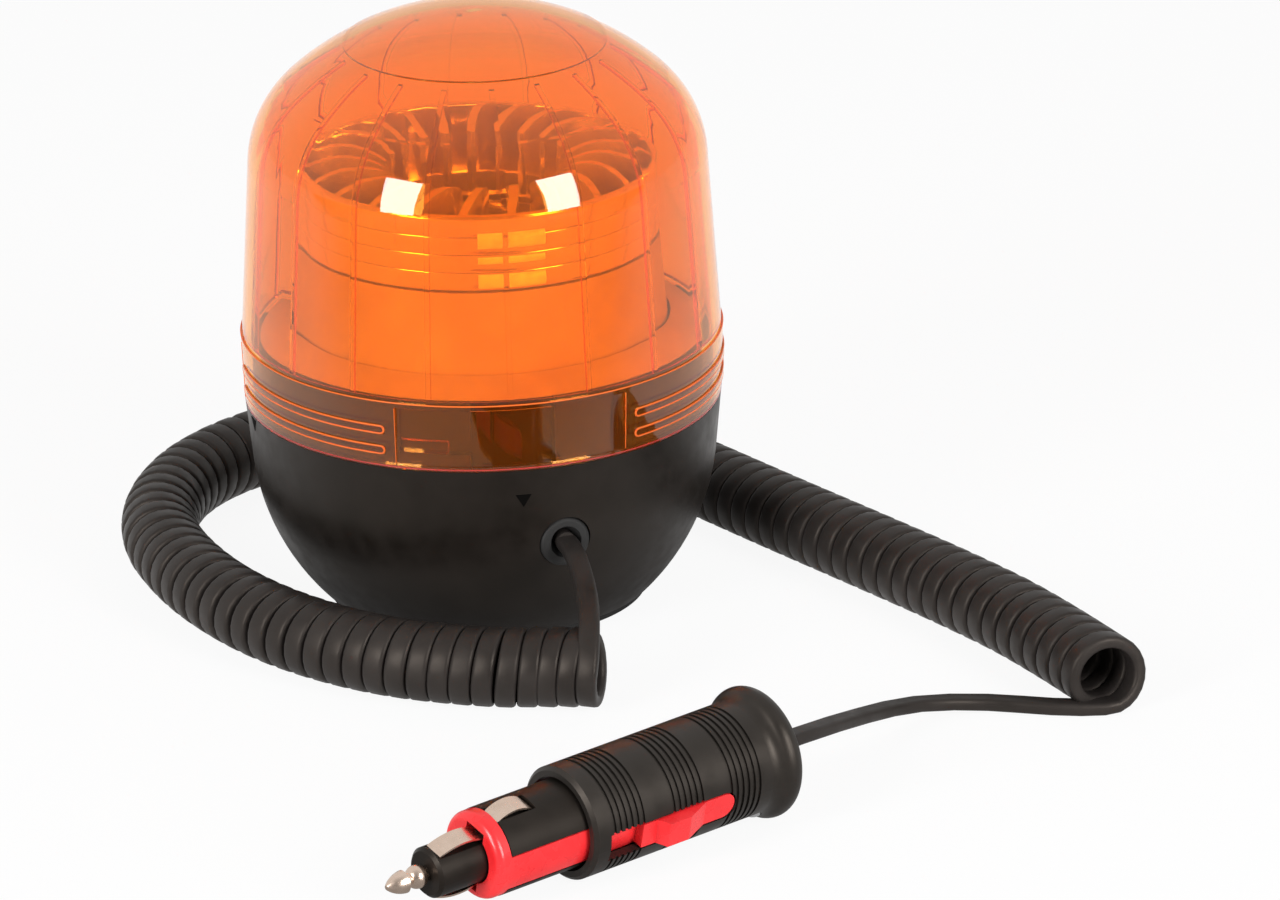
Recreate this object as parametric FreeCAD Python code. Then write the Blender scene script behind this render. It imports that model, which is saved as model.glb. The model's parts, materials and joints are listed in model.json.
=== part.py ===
"""Rotating amber beacon with a magnetic foot, a curly cord and a vehicle plug.

Millimetres. The origin is on the ground, on the lamp's axis. +Z is up, and the cord leaves towards -Y.
"""
import FreeCAD, Part
import math
import os

V = FreeCAD.Vector

# General fits
FIT_GAP = 0.3            # between pieces that move past each other
RUNNING_GAP = 0.05       # radial gap of a shaft in its bush
SEAT_GAP = 0.2           # between a piece and the pocket that holds it

# Bowl of the base
BASE_HEIGHT = 50.0       # ground to the ledge under the dome
EDGE_RADIUS = 57.3       # bowl and dome where they meet
BASE_DRAFT = 0.1         # bowl radius lost per millimetre below the ledge
BASE_STRAIGHT = 14.5     # height of the straight wall below the ledge
BASE_CURVE = 55.0        # radius of the bowl's curved side
BASE_WALL = 2.6
FLOOR_WALL = 2.5
LEDGE_WALL = 3.5

# Foot and magnet
FOOT_THICKNESS = 2.0
FOOT_INSET = 1.5
MAGNET_MARGIN = 10.0     # edge of the bowl's floor to the magnet
MAGNET_HOLE = 11.0
MAGNET_HEIGHT = 7.0
CUP_WALL = 2.5
POCKET_WALL = 2.5
BOLT_RADIUS = 2.5
BOLT_HEAD_RADIUS = 4.5
BOLT_HEAD_HEIGHT = 2.6
NUT_RADIUS = 4.6
NUT_HEIGHT = 4.0
BOLT_END = 1.5           # thread that stands out of the nut

# Dome
BAND_HEIGHT = 16.8       # grip band above the ledge
BAND_FLARE = 0.7         # band radius gained from its lower edge to its top
BAND_STEP = 0.4          # step from the band to the dome's wall
BAND_WALL = 2.4
DOME_HEIGHT = 95.8       # ledge to crown
DOME_DRAFT = 0.061       # dome radius lost per millimetre of height
SHOULDER_RADIUS = 27.0
CROWN_RADIUS = 69.0
DOME_WALL = 2.2
DISC_RADIUS = 31.5       # raised disc on the crown
DISC_RISE = 0.35
RIB_COUNT = 18
RIB_START = 6.8          # first rib, from the cord's side towards +X
RIB_WIDTH = 1.2
RIB_RISE = 0.8
RIB_ROOT = 0.4           # how deep a rib's root lies in the wall
LIP_WIDTH = 0.8          # outer lip of the dome's lower edge
LIP_GAP = 0.15

# Grips on the dome's band, in groups round it
GRIP_GROUPS = 3
GRIP_ANGLE = 57.5
GRIP_MIDDLE = 47.3       # middle of one group, from the cord's side towards +X
GRIP_HEIGHT = 2.2
GRIP_RISE = 0.4
GRIP_CHAMFER = 0.3
GRIP_LIFTS = (4.5, 9.65)
PANEL_ANGLE = 57.0       # shallow panel between two groups
PANEL_DEPTH = 0.25
PANEL_MARGIN = 1.2

# Bayonet between dome and collar
COLLAR_GAP = 0.4
COLLAR_WALL = 3.9
LUG_COUNT = 3
LUG_ANGLE = 12.0
LUG_REACH = 2.2
LUG_HEIGHT = 3.0
LUG_LIFT = 4.0           # ledge to the lug's underside
TWIST_ANGLE = 22.0
ENTRY_ANGLE = 21.0
ENTRY_MIDDLE = -12.7     # middle of one entry, from the cord's side towards +X
CHANNEL_MARGIN = 0.6     # degrees past the lug's ends

# Seal under the dome
SEAL_WIDTH = 1.3
SEAL_HEIGHT = 1.2
SEAL_DEPTH = 0.8

# Cord grommet in the bowl
GROMMET_HEIGHT = 30.0
GROMMET_RADIUS = 6.2
GROMMET_NECK = 4.5
GROMMET_FLANGE = 2.0
GROMMET_SINK = 1.6       # seat below the bowl's surface
GROMMET_BACK = 1.5
GROMMET_BOSS = 9.0
GROMMET_WALL = 3.6
GROMMET_ROUND = 1.2
GROMMET_MOUTH = 3.9      # radius of the flare round the cord
GROMMET_FLARE = 2.4      # depth of that flare

# Plate across the bowl
CHASSIS_GAP = 2.2        # plate's edge to the collar's bore
CHASSIS_THICKNESS = 2.5
CHASSIS_DROP = 1.5       # plate's top below the ledge
BOSS_RADIUS = 3.3
BOSS_INSET = 7.5         # plate's edge to the boss circle
BOSS_ANGLES = (10.0, 130.0, 250.0)
SCREW_RADIUS = 1.5
SCREW_HEAD = 2.9
SCREW_HEAD_HEIGHT = 2.0
SCREW_LENGTH = 10.0

# Cover over the drive
COVER_WALL = 1.8
COVER_LEDGE = 1.4        # width of the ledge that the cover's flange sits on
COVER_SINK = 2.8         # ledge below the collar's top
COVER_RISE = 23.2        # collar's top to the cover's top
COVER_TOP_RADIUS = 43.0
COVER_FOOT_RADIUS = 45.0
COVER_NOTCH_WIDTH = 8.0
COVER_NOTCH_DEPTH = 2.0
COVER_NOTCH_ANGLES = (-65.0, 55.0, 175.0)

# Lamp post and rotor bearing
POST_RADIUS = 10.0
POST_BORE = 8.4
POST_WEB = 3.5           # thickness of the post's floor
POST_WIRE_HOLE = 5.0
POST_FOOT_RADIUS = 17.0
POST_FOOT_HEIGHT = 3.0
POST_SHOULDER = 13.5
SHOULDER_HEIGHT = 12.9   # plate to the shoulder that carries the rotor
WASHER_THICKNESS = 0.5
WASHER_GAP = 0.1
SLEEVE_LENGTH = 15.0     # rotor sleeve on the post
CLIP_THICKNESS = 1.0
CLIP_GROOVE = 0.6
CLIP_REACH = 1.8
POST_END = 1.2           # post above the clip

# Gear train
WHEEL_MODULE = 0.75
ROTOR_TEETH = 64
IDLER_PINION_TEETH = 16
MOTOR_MODULE = 0.6
IDLER_WHEEL_TEETH = 42
MOTOR_TEETH = 14
ADDENDUM = 0.8           # stub teeth, in modules
DEDENDUM = 1.05
PRESSURE_ANGLE = 20.0
BACKLASH = 0.3
MESH_SLACK = 0.1         # added to each centre distance
FLANK_POINTS = 4
ROTOR_GEAR_THICKNESS = 4.0
IDLER_WHEEL_THICKNESS = 3.5
IDLER_LIFT = 5.0         # plate to the idler's underside
IDLER_PIN_RADIUS = 1.5
IDLER_COLLAR = 3.0
IDLER_HEAD = 2.6
IDLER_HEAD_HEIGHT = 1.0
IDLER_ANGLE = 90.0
PINION_MARGIN = 0.6      # pinion past both faces of the wheel it drives

# Motor
MOTOR_RADIUS = 12.0
MOTOR_FLOOR_GAP = 6.0    # roof of the magnet pocket to the motor
MOTOR_SHAFT = 1.0
MOTOR_BEARING = 8.0
MOTOR_BOSS = 3.0
MOTOR_BOSS_HEIGHT = 1.2
MOTOR_SCREW_CIRCLE = 8.0
MOTOR_SCREW_RADIUS = 1.1
MOTOR_SCREW_HEAD = 2.0
MOTOR_SCREW_HEAD_HEIGHT = 1.4
MOTOR_SCREW_LENGTH = 5.0
MOTOR_ROUND = 1.5

# Rotor
HUB_WALL = 3.0
HUB_SHOULDER = 1.5
HUB_SHOULDER_HEIGHT = 2.0
HUB_FLANGE = 24.5
HUB_FLANGE_HEIGHT = 2.0
HUB_THROAT = 20.5
HUB_SKIN = 3.2
COVER_HOLE_GAP = 1.0
WHEEL_GAP = 0.6          # cover to rotor wheel
WHEEL_RADIUS = 42.8
WHEEL_HEIGHT = 18.4
WHEEL_WALL = 1.6
WHEEL_FLOOR = 1.6
THROAT_RADIUS = 22.3     # bore of the low ring that ties the vanes together
THROAT_WALL = 1.5
THROAT_LEDGE = 1.5       # floor that shows inside the ring
THROAT_HEIGHT = 7.2
VANE_COUNT = 22
VANE_START = 8.9         # inner end of the first vane, from +X
VANE_THICKNESS = 2.0
VANE_SWIRL = -10.5       # degrees that a vane turns from throat to rim
VANE_BOW = 1.0           # bow of a vane, seen from above
VANE_NOSE = 0.7          # vane that stands inside the ring
VANE_NOSE_DROP = 1.0     # upright inner edge of a vane, below the rim
VANE_CREST = 2.2         # crest of the vanes above the rim
VANE_CREST_RADIUS = 31.0
VANE_RIM_DROP = 2.0

# Bulb and its holder
SOCKET_WALL = 0.6
SOCKET_FOOT = 3.0        # thickness of the insulator
SOCKET_SLOT = 2.6
CONTACT_RADIUS = 2.5
CONTACT_HEIGHT = 3.3
BULB_CAP_RADIUS = 7.4
BULB_CAP_HEIGHT = 19.7
BULB_PIN_RADIUS = 1.0
BULB_PIN_LIFT = 6.7
BULB_RADIUS = 9.3
BULB_NECK = 7.2
BULB_NECK_HEIGHT = 1.5
BULB_FLARE_HEIGHT = 5.0
BULB_LENGTH = 20.0       # cap's top to glass top
BULB_WALL = 0.8
FILAMENT_RADIUS = 0.6
FILAMENT_SPAN = 6.0
FILAMENT_HEIGHT = 11.0
WIRE_SUPPORT = 0.45
STEM_RADIUS = 3.2
STEM_HEIGHT = 5.0

# Circuit board and wires in the bowl
BOARD_WIDTH = 30.0
BOARD_HEIGHT = 23.0
BOARD_THICKNESS = 1.6
BOARD_INSET = 17.0       # plate's edge to the board's inner face
CAPACITOR_RADIUS = 4.0
CAPACITOR_LENGTH = 11.0
CAPACITOR_OFFSET = -8.0
CHOKE_SIZE = 7.0
CHOKE_OFFSET = 3.5
BOARD_PART_DROP = 13.0   # plate to the middle of the board's parts
WIRE_RADIUS = 0.7
LAMP_WIRE_OFFSETS = (-2.0, 2.0)
LAMP_WIRE_DROP = 4.0     # plate to the lamp wires
MOTOR_WIRE_OFFSETS = (11.2, 13.2)
MOTOR_WIRE_DROP = 20.0
MOTOR_WIRE_REACH = 20.0
MOTOR_WIRE_SAG = 2.6

# Cord
STRAND = 4.8
CURL = 19.0              # outside of the curly stretch
CORD_LIFT = 0.1          # cord above the ground
ARC_SHARE = 0.45         # share of the shorter run that an arc takes
TAIL_POINTS = ((0.0, -60.5, 29.8), (-1.6, -66.5, 25.2), (-4.0, -75.0, 19.4), (-5.2, -82.5, 14.6))
CURL_ROUTE = (
    (-3.4, -84.4), (-27.5, -75.5), (-50.0, -57.0), (-66.5, -27.0), (-73.2, 8.5), (-70.7, 45.5),
    (-49.8, 76.3), (-16.2, 91.5), (20.4, 87.0), (49.2, 64.2), (61.9, 29.7), (72.0, -4.5),
    (82.6, -38.5), (92.9, -72.3), (100.8, -104.5), (104.3, -137.6),
)
LEAD_POINTS = ((101.0, -135.6, 3.2), (92.0, -132.4, 2.6), (79.5, -123.2, 2.6), (61.0, -123.6, 4.4),
               (43.0, -135.6, 8.6))

# Plug, measured along its axis from the cord's end
PLUG_REAR = (8.2, -161.8)
PLUG_HEADING = 197.65
PLUG_ROLL = -15.7
PLUG_LENGTH = 109.3
HANDLE_RADIUS = 13.5
HANDLE_BORE = 11.2
HANDLE_END = 59.9
HANDLE_FLOOR = 12.1
HANDLE_CHAMFER = 0.9
FLANGE_RADIUS = 15.7
FLANGE_ROUND = 3.2       # rounding of the flange's bead
FLANGE_BLEND = 4.0       # rounding of the hollow between bead and grip
CORD_SEAT = 6.0
GROOVE_STARTS = (11.9, 28.6, 45.7)
GROOVE_COUNT = 6
GROOVE_PITCH = 1.65
GROOVE_WIDTH = 0.8
GROOVE_DEPTH = 0.5
SLOT_START = 18.9
SLOT_END = 55.5
SLOT_WIDTH = 7.2
BARREL_RADIUS = 10.5
BARREL_END = 81.2
NOSE_RADIUS = 6.0
NOSE_END = 98.2
NOSE_CHAMFER = 0.8
ARM_WIDTH = 8.8
ARM_INNER = 8.0
ARM_START = 20.1
SLIDE_RADIUS = 10.4
SLIDE_RING = 3.7
SLIDE_ROUND = 1.8
SLIDE_BORE = 6.4
PAD_START = 27.9
PAD_END = 42.0
PAD_REACH = 15.8
PAD_SLOPE = 6.5          # slope at the pad's rear end
PAD_FRONT = 1.6          # slope at its front end
PAD_TAIL = 13.0          # reach of the strip behind the pad and of the step in front of it
PAD_STEP = 46.0          # front end of that step
LEAF_WIDTH = 5.0
LEAF_THICKNESS = 0.5
LEAF_SLOT_GAP = 0.3
NOSE_LEAF = (82.5, 96.7)
NOSE_LEAF_SINK = 0.8
NOSE_LEAF_RISE = 1.4
BARREL_LEAF = (70.6, 80.9)
BARREL_LEAF_SINK = 1.4
BARREL_LEAF_RISE = 0.9
TIP_ROUND = 0.6
TIP_CONE = 2.7
TIP_CONE_LENGTH = 5.0
TIP_BOW = 0.35           # how far the cone's side bows out
TIP_BACK = 0.9           # slope behind the cone
TIP_NECK = 1.5
TIP_BALL = 2.75
TIP_BALL_GAP = 0.9
TIP_SHANK = 1.6
TIP_SHANK_DEPTH = 8.0
PLUG_SCREW_OFFSET = 7.6
PLUG_SCREW_STATION = 8.6
PLUG_SCREW_RADIUS = 1.3
PLUG_SCREW_HEAD = 2.4
PLUG_SCREW_HEAD_HEIGHT = 1.8
PLUG_SCREW_SINK = 3.0
PLUG_SCREW_BITE = 7.0

# Heights and radii that follow from the sizes above
band_inner = EDGE_RADIUS - BAND_WALL
band_top = BASE_HEIGHT + BAND_HEIGHT
wall_foot = EDGE_RADIUS + BAND_FLARE - BAND_STEP
collar_radius = band_inner - COLLAR_GAP
collar_inner = collar_radius - COLLAR_WALL
collar_bore = collar_inner - COVER_LEDGE
collar_top = band_top
cover_seat = collar_top - COVER_SINK
cover_top = collar_top + COVER_RISE
chassis_top = BASE_HEIGHT - CHASSIS_DROP
chassis_bottom = chassis_top - CHASSIS_THICKNESS
chassis_radius = collar_bore - CHASSIS_GAP
boss_circle = chassis_radius - BOSS_INSET
board_distance = chassis_radius - BOARD_INSET
floor_top = FOOT_THICKNESS + FLOOR_WALL
cup_top = FOOT_THICKNESS + MAGNET_HEIGHT + CUP_WALL
pocket_roof = cup_top + POCKET_WALL
rotor_seat = chassis_top + SHOULDER_HEIGHT
rotor_bottom = rotor_seat + WASHER_THICKNESS + WASHER_GAP
sleeve_top = rotor_bottom + SLEEVE_LENGTH
clip_bottom = sleeve_top + FIT_GAP
post_top = clip_bottom + CLIP_THICKNESS + POST_END
hub_bore = POST_RADIUS + RUNNING_GAP
hub_outer = hub_bore + HUB_WALL
wheel_bottom = cover_top + WHEEL_GAP
wheel_top = wheel_bottom + WHEEL_HEIGHT
wheel_lip = WHEEL_RADIUS - WHEEL_WALL / 2
vane_nose = THROAT_RADIUS - VANE_NOSE
insulator_bottom = chassis_top + POST_WEB
insulator_top = insulator_bottom + SOCKET_FOOT
cap_bottom = insulator_top + CONTACT_HEIGHT
cap_top = cap_bottom + BULB_CAP_HEIGHT
idler_bottom = chassis_top + IDLER_LIFT
idler_step = idler_bottom + IDLER_WHEEL_THICKNESS
idler_top = rotor_bottom + ROTOR_GEAR_THICKNESS + PINION_MARGIN
idler_distance = WHEEL_MODULE * (ROTOR_TEETH + IDLER_PINION_TEETH) / 2 + MESH_SLACK
motor_distance = MOTOR_MODULE * (IDLER_WHEEL_TEETH + MOTOR_TEETH) / 2 + MESH_SLACK
motor_angle = IDLER_ANGLE - 2 * math.degrees(math.asin(motor_distance / (2 * idler_distance)))
motor_bottom = pocket_roof + MOTOR_FLOOR_GAP


def polar(radius, angle):
    """X and Y of a place at a radius, with the angle in degrees from +X."""
    return radius * math.cos(math.radians(angle)), radius * math.sin(math.radians(angle))


idler_x, idler_y = polar(idler_distance, IDLER_ANGLE)
motor_x, motor_y = polar(idler_distance, motor_angle)


def flat(point):
    """A radius and a height as a point of the XZ plane."""
    return V(point[0], 0, point[1])


def outline(start, *steps):
    """Closed face in the XZ plane. A step is an end point, or an arc's middle and end points."""
    here = start
    edges = []
    for step in steps + (start,):
        if isinstance(step[0], tuple):
            middle, end = step
            edges.append(Part.Arc(flat(here), flat(middle), flat(end)).toShape())
        else:
            end = step
            if (flat(end) - flat(here)).Length > Part.Precision.confusion():
                edges.append(Part.makeLine(flat(here), flat(end)))
        here = end
    return Part.Face(Part.Wire(edges))


def spin(face, angle=360.0, start=0.0):
    """Solid swept by a face of the XZ plane, turned about Z from a start angle."""
    solid = face.revolve(V(0, 0, 0), V(0, 0, 1), angle)
    return turned(solid, start)


def turned(shape, angle):
    """Copy of a shape, turned about Z."""
    copy = shape.copy()
    copy.rotate(V(0, 0, 0), V(0, 0, 1), angle)
    return copy


def rod(radius, bottom, top, x=0.0, y=0.0):
    return Part.makeCylinder(radius, top - bottom, V(x, y, bottom))


def ring(inner, outer, bottom, top):
    return spin(outline((inner, bottom), (outer, bottom), (outer, top), (inner, top)))


def sector(inner, outer, bottom, top, middle, width):
    """Piece of a ring. Its middle is an angle from -Y towards +X."""
    face = outline((inner, bottom), (outer, bottom), (outer, top), (inner, top))
    return spin(face, width, middle - width / 2 - 90.0)


def fused(*shapes):
    return shapes[0].multiFuse(list(shapes[1:])).removeSplitter()


def along_y(radius, near, far, height):
    """Rod from one distance in front of the axis to another, at a height."""
    return Part.makeCylinder(radius, far - near, V(0, -near, height), V(0, -1, 0))


# Curves of the bowl
def bowl_curve(inset):
    """Centre, radius and upper end of the bowl's curved side, offset inwards."""
    slant = math.hypot(1.0, BASE_DRAFT)
    inward = V(-1.0 / slant, 0, BASE_DRAFT / slant)
    knee = V(EDGE_RADIUS - BASE_DRAFT * BASE_STRAIGHT, 0, BASE_HEIGHT - BASE_STRAIGHT)
    return knee + inward * BASE_CURVE, BASE_CURVE - inset, knee + inward * inset


def bowl_radius(height, inset=0.0):
    """Radius of the bowl's side at a height."""
    centre, radius, knee = bowl_curve(inset)
    if height >= knee.z:
        return knee.x + BASE_DRAFT * (height - knee.z)
    return centre.x + math.sqrt(radius ** 2 - (centre.z - height) ** 2)


def bowl_side(low, inset=0.0):
    """Outline steps of the bowl's curved side, from its foot to the knee."""
    knee = bowl_curve(inset)[2]
    half = (low + knee.z) / 2
    return (bowl_radius(low, inset), low), ((bowl_radius(half, inset), half), (knee.x, knee.z))


magnet_radius = bowl_radius(FOOT_THICKNESS) - MAGNET_MARGIN
cup_radius = magnet_radius + CUP_WALL
pocket_radius = cup_radius + SEAT_GAP
pocket_outer = pocket_radius + POCKET_WALL
grommet_seat = bowl_radius(GROMMET_HEIGHT) - GROMMET_SINK
grommet_face = grommet_seat + GROMMET_FLANGE
grommet_back = grommet_seat - GROMMET_WALL


def base_housing():
    """Bowl with magnet pocket, screw bosses and the collar that the dome locks on."""
    foot, side = bowl_side(FOOT_THICKNESS)
    bowl = spin(outline((0.0, FOOT_THICKNESS), foot, side, (EDGE_RADIUS, BASE_HEIGHT),
                        (collar_radius, BASE_HEIGHT), (collar_radius, collar_top), (0.0, collar_top)))
    inner_foot, inner_side = bowl_side(floor_top, BASE_WALL)
    roof = BASE_HEIGHT - LEDGE_WALL
    room = spin(outline((0.0, pocket_roof), (pocket_outer, pocket_roof), (pocket_outer, floor_top),
                        inner_foot, inner_side, (bowl_radius(roof, BASE_WALL), roof),
                        (collar_bore, roof), (collar_bore, cover_seat), (collar_inner, cover_seat),
                        (collar_inner, collar_top), (0.0, collar_top)))
    pocket = rod(pocket_radius, 0.0, cup_top)
    bosses = [rod(BOSS_RADIUS, floor_top, chassis_bottom, *polar(boss_circle, a)) for a in BOSS_ANGLES]
    grommet_boss = along_y(GROMMET_BOSS, grommet_back, grommet_face, GROMMET_HEIGHT)
    added = fused(*bosses, grommet_boss).common(bowl).cut(pocket)
    housing = fused(bowl.cut(room).cut(pocket), added)
    cuts = [rod(BOLT_RADIUS + SEAT_GAP, cup_top, pocket_roof)]
    cuts += [rod(SCREW_RADIUS, chassis_top - SCREW_LENGTH, chassis_bottom, *polar(boss_circle, a))
             for a in BOSS_ANGLES]
    cuts.append(along_y(GROMMET_RADIUS + SEAT_GAP, grommet_seat, EDGE_RADIUS, GROMMET_HEIGHT))
    cuts.append(along_y(GROMMET_NECK, grommet_back, grommet_seat, GROMMET_HEIGHT))
    seal_inner = band_inner - SEAT_GAP
    seal_outer = band_inner + SEAL_WIDTH + SEAT_GAP
    cuts.append(ring(seal_inner, seal_outer, BASE_HEIGHT - SEAL_DEPTH, BASE_HEIGHT))
    cuts += bayonet_channels()
    return housing.cut(cuts)


def lug_middles():
    """Middle angle of each dome lug when the dome is locked."""
    return [ENTRY_MIDDLE - TWIST_ANGLE + 360.0 * i / LUG_COUNT for i in range(LUG_COUNT)]


def bayonet_channels():
    """L-shaped channels in the collar: a wide entry from the top and a run for the twist."""
    floor = band_inner - LUG_REACH - FIT_GAP
    low = BASE_HEIGHT + LUG_LIFT - FIT_GAP
    high = BASE_HEIGHT + LUG_LIFT + LUG_HEIGHT + FIT_GAP
    shapes = []
    for middle in lug_middles():
        entry = middle + TWIST_ANGLE
        first = middle - LUG_ANGLE / 2 - CHANNEL_MARGIN
        shapes.append(sector(floor, EDGE_RADIUS, BASE_HEIGHT, collar_top, entry, ENTRY_ANGLE))
        shapes.append(sector(floor, EDGE_RADIUS, low, high, (first + entry) / 2, entry - first))
    return shapes


# Curves of the dome
def dome_curve():
    """Centres of shoulder and crown, and the unit vector from crown to shoulder centre."""
    slant = math.hypot(1.0, DOME_DRAFT)
    upward = V(-DOME_DRAFT / slant, 0, 1.0 / slant)
    inward = V(-1.0 / slant, 0, -DOME_DRAFT / slant)
    crown = V(0, 0, BASE_HEIGHT + DOME_HEIGHT - CROWN_RADIUS)
    reach = V(wall_foot, 0, band_top) + inward * SHOULDER_RADIUS - crown
    drop = upward.dot(reach)
    rise = -drop + math.sqrt(drop ** 2 - reach.Length ** 2 + (CROWN_RADIUS - SHOULDER_RADIUS) ** 2)
    shoulder = crown + reach + upward * rise
    return shoulder, crown, inward, (shoulder - crown).normalize()


def dome_points(inset):
    """Wall foot, wall top, shoulder middle, shoulder end and disc edge of an offset dome."""
    shoulder, crown, inward, out = dome_curve()
    radius = SHOULDER_RADIUS - inset
    top = shoulder - inward * radius
    end = shoulder + out * radius
    middle = shoulder + (out - inward).normalize() * radius
    foot = V(wall_foot, 0, band_top) + inward * inset
    edge = V(DISC_RADIUS, 0, crown.z + math.sqrt((CROWN_RADIUS - inset) ** 2 - DISC_RADIUS ** 2))
    return [(p.x, p.z) for p in (foot, top, middle, end, edge)]


def crown_point(radius, inset):
    """Point of the offset crown at a radius."""
    crown = dome_curve()[1]
    return radius, crown.z + math.sqrt((CROWN_RADIUS - inset) ** 2 - radius ** 2)


def crown_between(first, last, inset):
    return crown_point((first + last) / 2, inset)


def lens_dome():
    """Amber dome: wall, crown disc, inner ribs, grip band and bayonet lugs."""
    foot, top, middle, end, edge = dome_points(0.0)
    in_foot, in_top, in_middle, in_end, in_edge = dome_points(DOME_WALL)
    step = band_top + FIT_GAP
    lip = EDGE_RADIUS - LIP_WIDTH
    seal_face = BASE_HEIGHT - SEAL_DEPTH + SEAL_HEIGHT + FIT_GAP
    disc = DISC_RADIUS
    shell = spin(outline(
        (EDGE_RADIUS, BASE_HEIGHT + LIP_GAP), (EDGE_RADIUS + BAND_FLARE, band_top), foot, top, (middle, end),
        (crown_between(end[0], disc, 0.0), edge), crown_point(disc, -DISC_RISE),
        (crown_between(disc, 0.0, -DISC_RISE), crown_point(0.0, -DISC_RISE)), crown_point(0.0, DOME_WALL),
        (crown_between(in_end[0], 0.0, DOME_WALL), in_end), (in_middle, in_top), (in_foot[0], step),
        (band_inner, step), (band_inner, seal_face), (lip, seal_face), (lip, BASE_HEIGHT + LIP_GAP)))
    lug_low = BASE_HEIGHT + LUG_LIFT
    lugs = [sector(band_inner - LUG_REACH, band_inner + RIB_ROOT, lug_low, lug_low + LUG_HEIGHT,
                   middle_angle, LUG_ANGLE) for middle_angle in lug_middles()]
    ribs = [turned(dome_rib(), RIB_START - 90.0 + 360.0 * i / RIB_COUNT) for i in range(RIB_COUNT)]
    panels = [sector(band_radius(BASE_HEIGHT) - PANEL_DEPTH, EDGE_RADIUS + BAND_FLARE,
                     BASE_HEIGHT + PANEL_MARGIN, band_top - PANEL_MARGIN, middle_angle, PANEL_ANGLE)
              for middle_angle in group_angles(GRIP_MIDDLE + 180.0 / GRIP_GROUPS)]
    return fused(shell.cut(panels), *lugs, *ribs, *grip_bars())


def group_angles(first):
    return [first + 360.0 * i / GRIP_GROUPS for i in range(GRIP_GROUPS)]


def band_radius(height):
    """Outside of the grip band at a height."""
    return EDGE_RADIUS + BAND_FLARE * (height - BASE_HEIGHT) / BAND_HEIGHT


def dome_rib():
    """Thin rib on the inside of the dome, from the band to the crown disc."""
    foot, top, middle, end, edge = dome_points(DOME_WALL - RIB_ROOT)
    in_foot, in_top, in_middle, in_end, in_edge = dome_points(DOME_WALL + RIB_RISE)
    face = outline(foot, top, (middle, end), (crown_between(end[0], DISC_RADIUS, DOME_WALL - RIB_ROOT), edge),
                   in_edge, (crown_between(in_end[0], DISC_RADIUS, DOME_WALL + RIB_RISE), in_end),
                   (in_middle, in_top), in_foot)
    rib = face.extrude(V(0, RIB_WIDTH, 0))
    rib.translate(V(0, -RIB_WIDTH / 2, FIT_GAP))
    return rib


def grip_bars():
    """Raised bars on the band, two to a group."""
    bars = []
    for lift in GRIP_LIFTS:
        low = BASE_HEIGHT + lift - GRIP_HEIGHT / 2
        high = low + GRIP_HEIGHT
        face = outline((EDGE_RADIUS - RIB_ROOT, low), (band_radius(low), low),
                       (band_radius(low) + GRIP_RISE, low + GRIP_CHAMFER),
                       (band_radius(high) + GRIP_RISE, high - GRIP_CHAMFER), (band_radius(high), high),
                       (EDGE_RADIUS - RIB_ROOT, high))
        bars += [spin(face, GRIP_ANGLE, angle - GRIP_ANGLE / 2 - 90.0) for angle in group_angles(GRIP_MIDDLE)]
    return bars


def dome_seal():
    low = BASE_HEIGHT - SEAL_DEPTH
    return ring(band_inner, band_inner + SEAL_WIDTH, low, low + SEAL_HEIGHT)


def rubber_foot():
    return rod(bowl_radius(FOOT_THICKNESS) - FOOT_INSET, 0.0, FOOT_THICKNESS)


def magnet_cup():
    low = FOOT_THICKNESS
    cup = rod(cup_radius, low, cup_top).cut(rod(magnet_radius + RUNNING_GAP, low, cup_top - CUP_WALL))
    return cup.cut(rod(BOLT_RADIUS + SEAT_GAP, low, cup_top))


def ring_magnet():
    return ring(MAGNET_HOLE, magnet_radius, FOOT_THICKNESS, FOOT_THICKNESS + MAGNET_HEIGHT)


def magnet_bolt():
    """Bolt up through cup and pocket roof, with its head inside the ring magnet."""
    head_top = cup_top - CUP_WALL
    end = pocket_roof + NUT_HEIGHT + BOLT_END
    head = rod(BOLT_HEAD_RADIUS, head_top - BOLT_HEAD_HEIGHT, head_top)
    return fused(head, rod(BOLT_RADIUS, head_top, end))


def hexagon(radius, bottom, top):
    points = [V(*polar(radius, 60.0 * i), bottom) for i in range(7)]
    return Part.Face(Part.makePolygon(points)).extrude(V(0, 0, top - bottom))


def magnet_nut():
    top = pocket_roof + NUT_HEIGHT
    return hexagon(NUT_RADIUS, pocket_roof, top).cut(rod(BOLT_RADIUS + RUNNING_GAP, pocket_roof, top))


def cord_grommet():
    """Rubber ring with a rounded outer flange flared round the cord, a neck and a flange behind."""
    flange = along_y(GROMMET_RADIUS, grommet_seat, grommet_face, GROMMET_HEIGHT)
    rim = [e for e in flange.Edges if abs(e.BoundBox.YMin + grommet_face) < Part.Precision.confusion()
           and abs(e.BoundBox.YMax + grommet_face) < Part.Precision.confusion()]
    flange = flange.makeFillet(GROMMET_ROUND, rim)
    neck = along_y(GROMMET_NECK - RUNNING_GAP, grommet_back, grommet_seat, GROMMET_HEIGHT)
    back = along_y(GROMMET_RADIUS, grommet_back - GROMMET_BACK, grommet_back, GROMMET_HEIGHT)
    bore = along_y(STRAND / 2 + SEAT_GAP, grommet_back - GROMMET_BACK, grommet_face, GROMMET_HEIGHT)
    flare = Part.makeCone(GROMMET_MOUTH, STRAND / 2 + SEAT_GAP, GROMMET_FLARE,
                          V(0, -grommet_face, GROMMET_HEIGHT), V(0, 1, 0))
    return fused(flange, neck, back).cut(bore).cut(flare)


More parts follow.
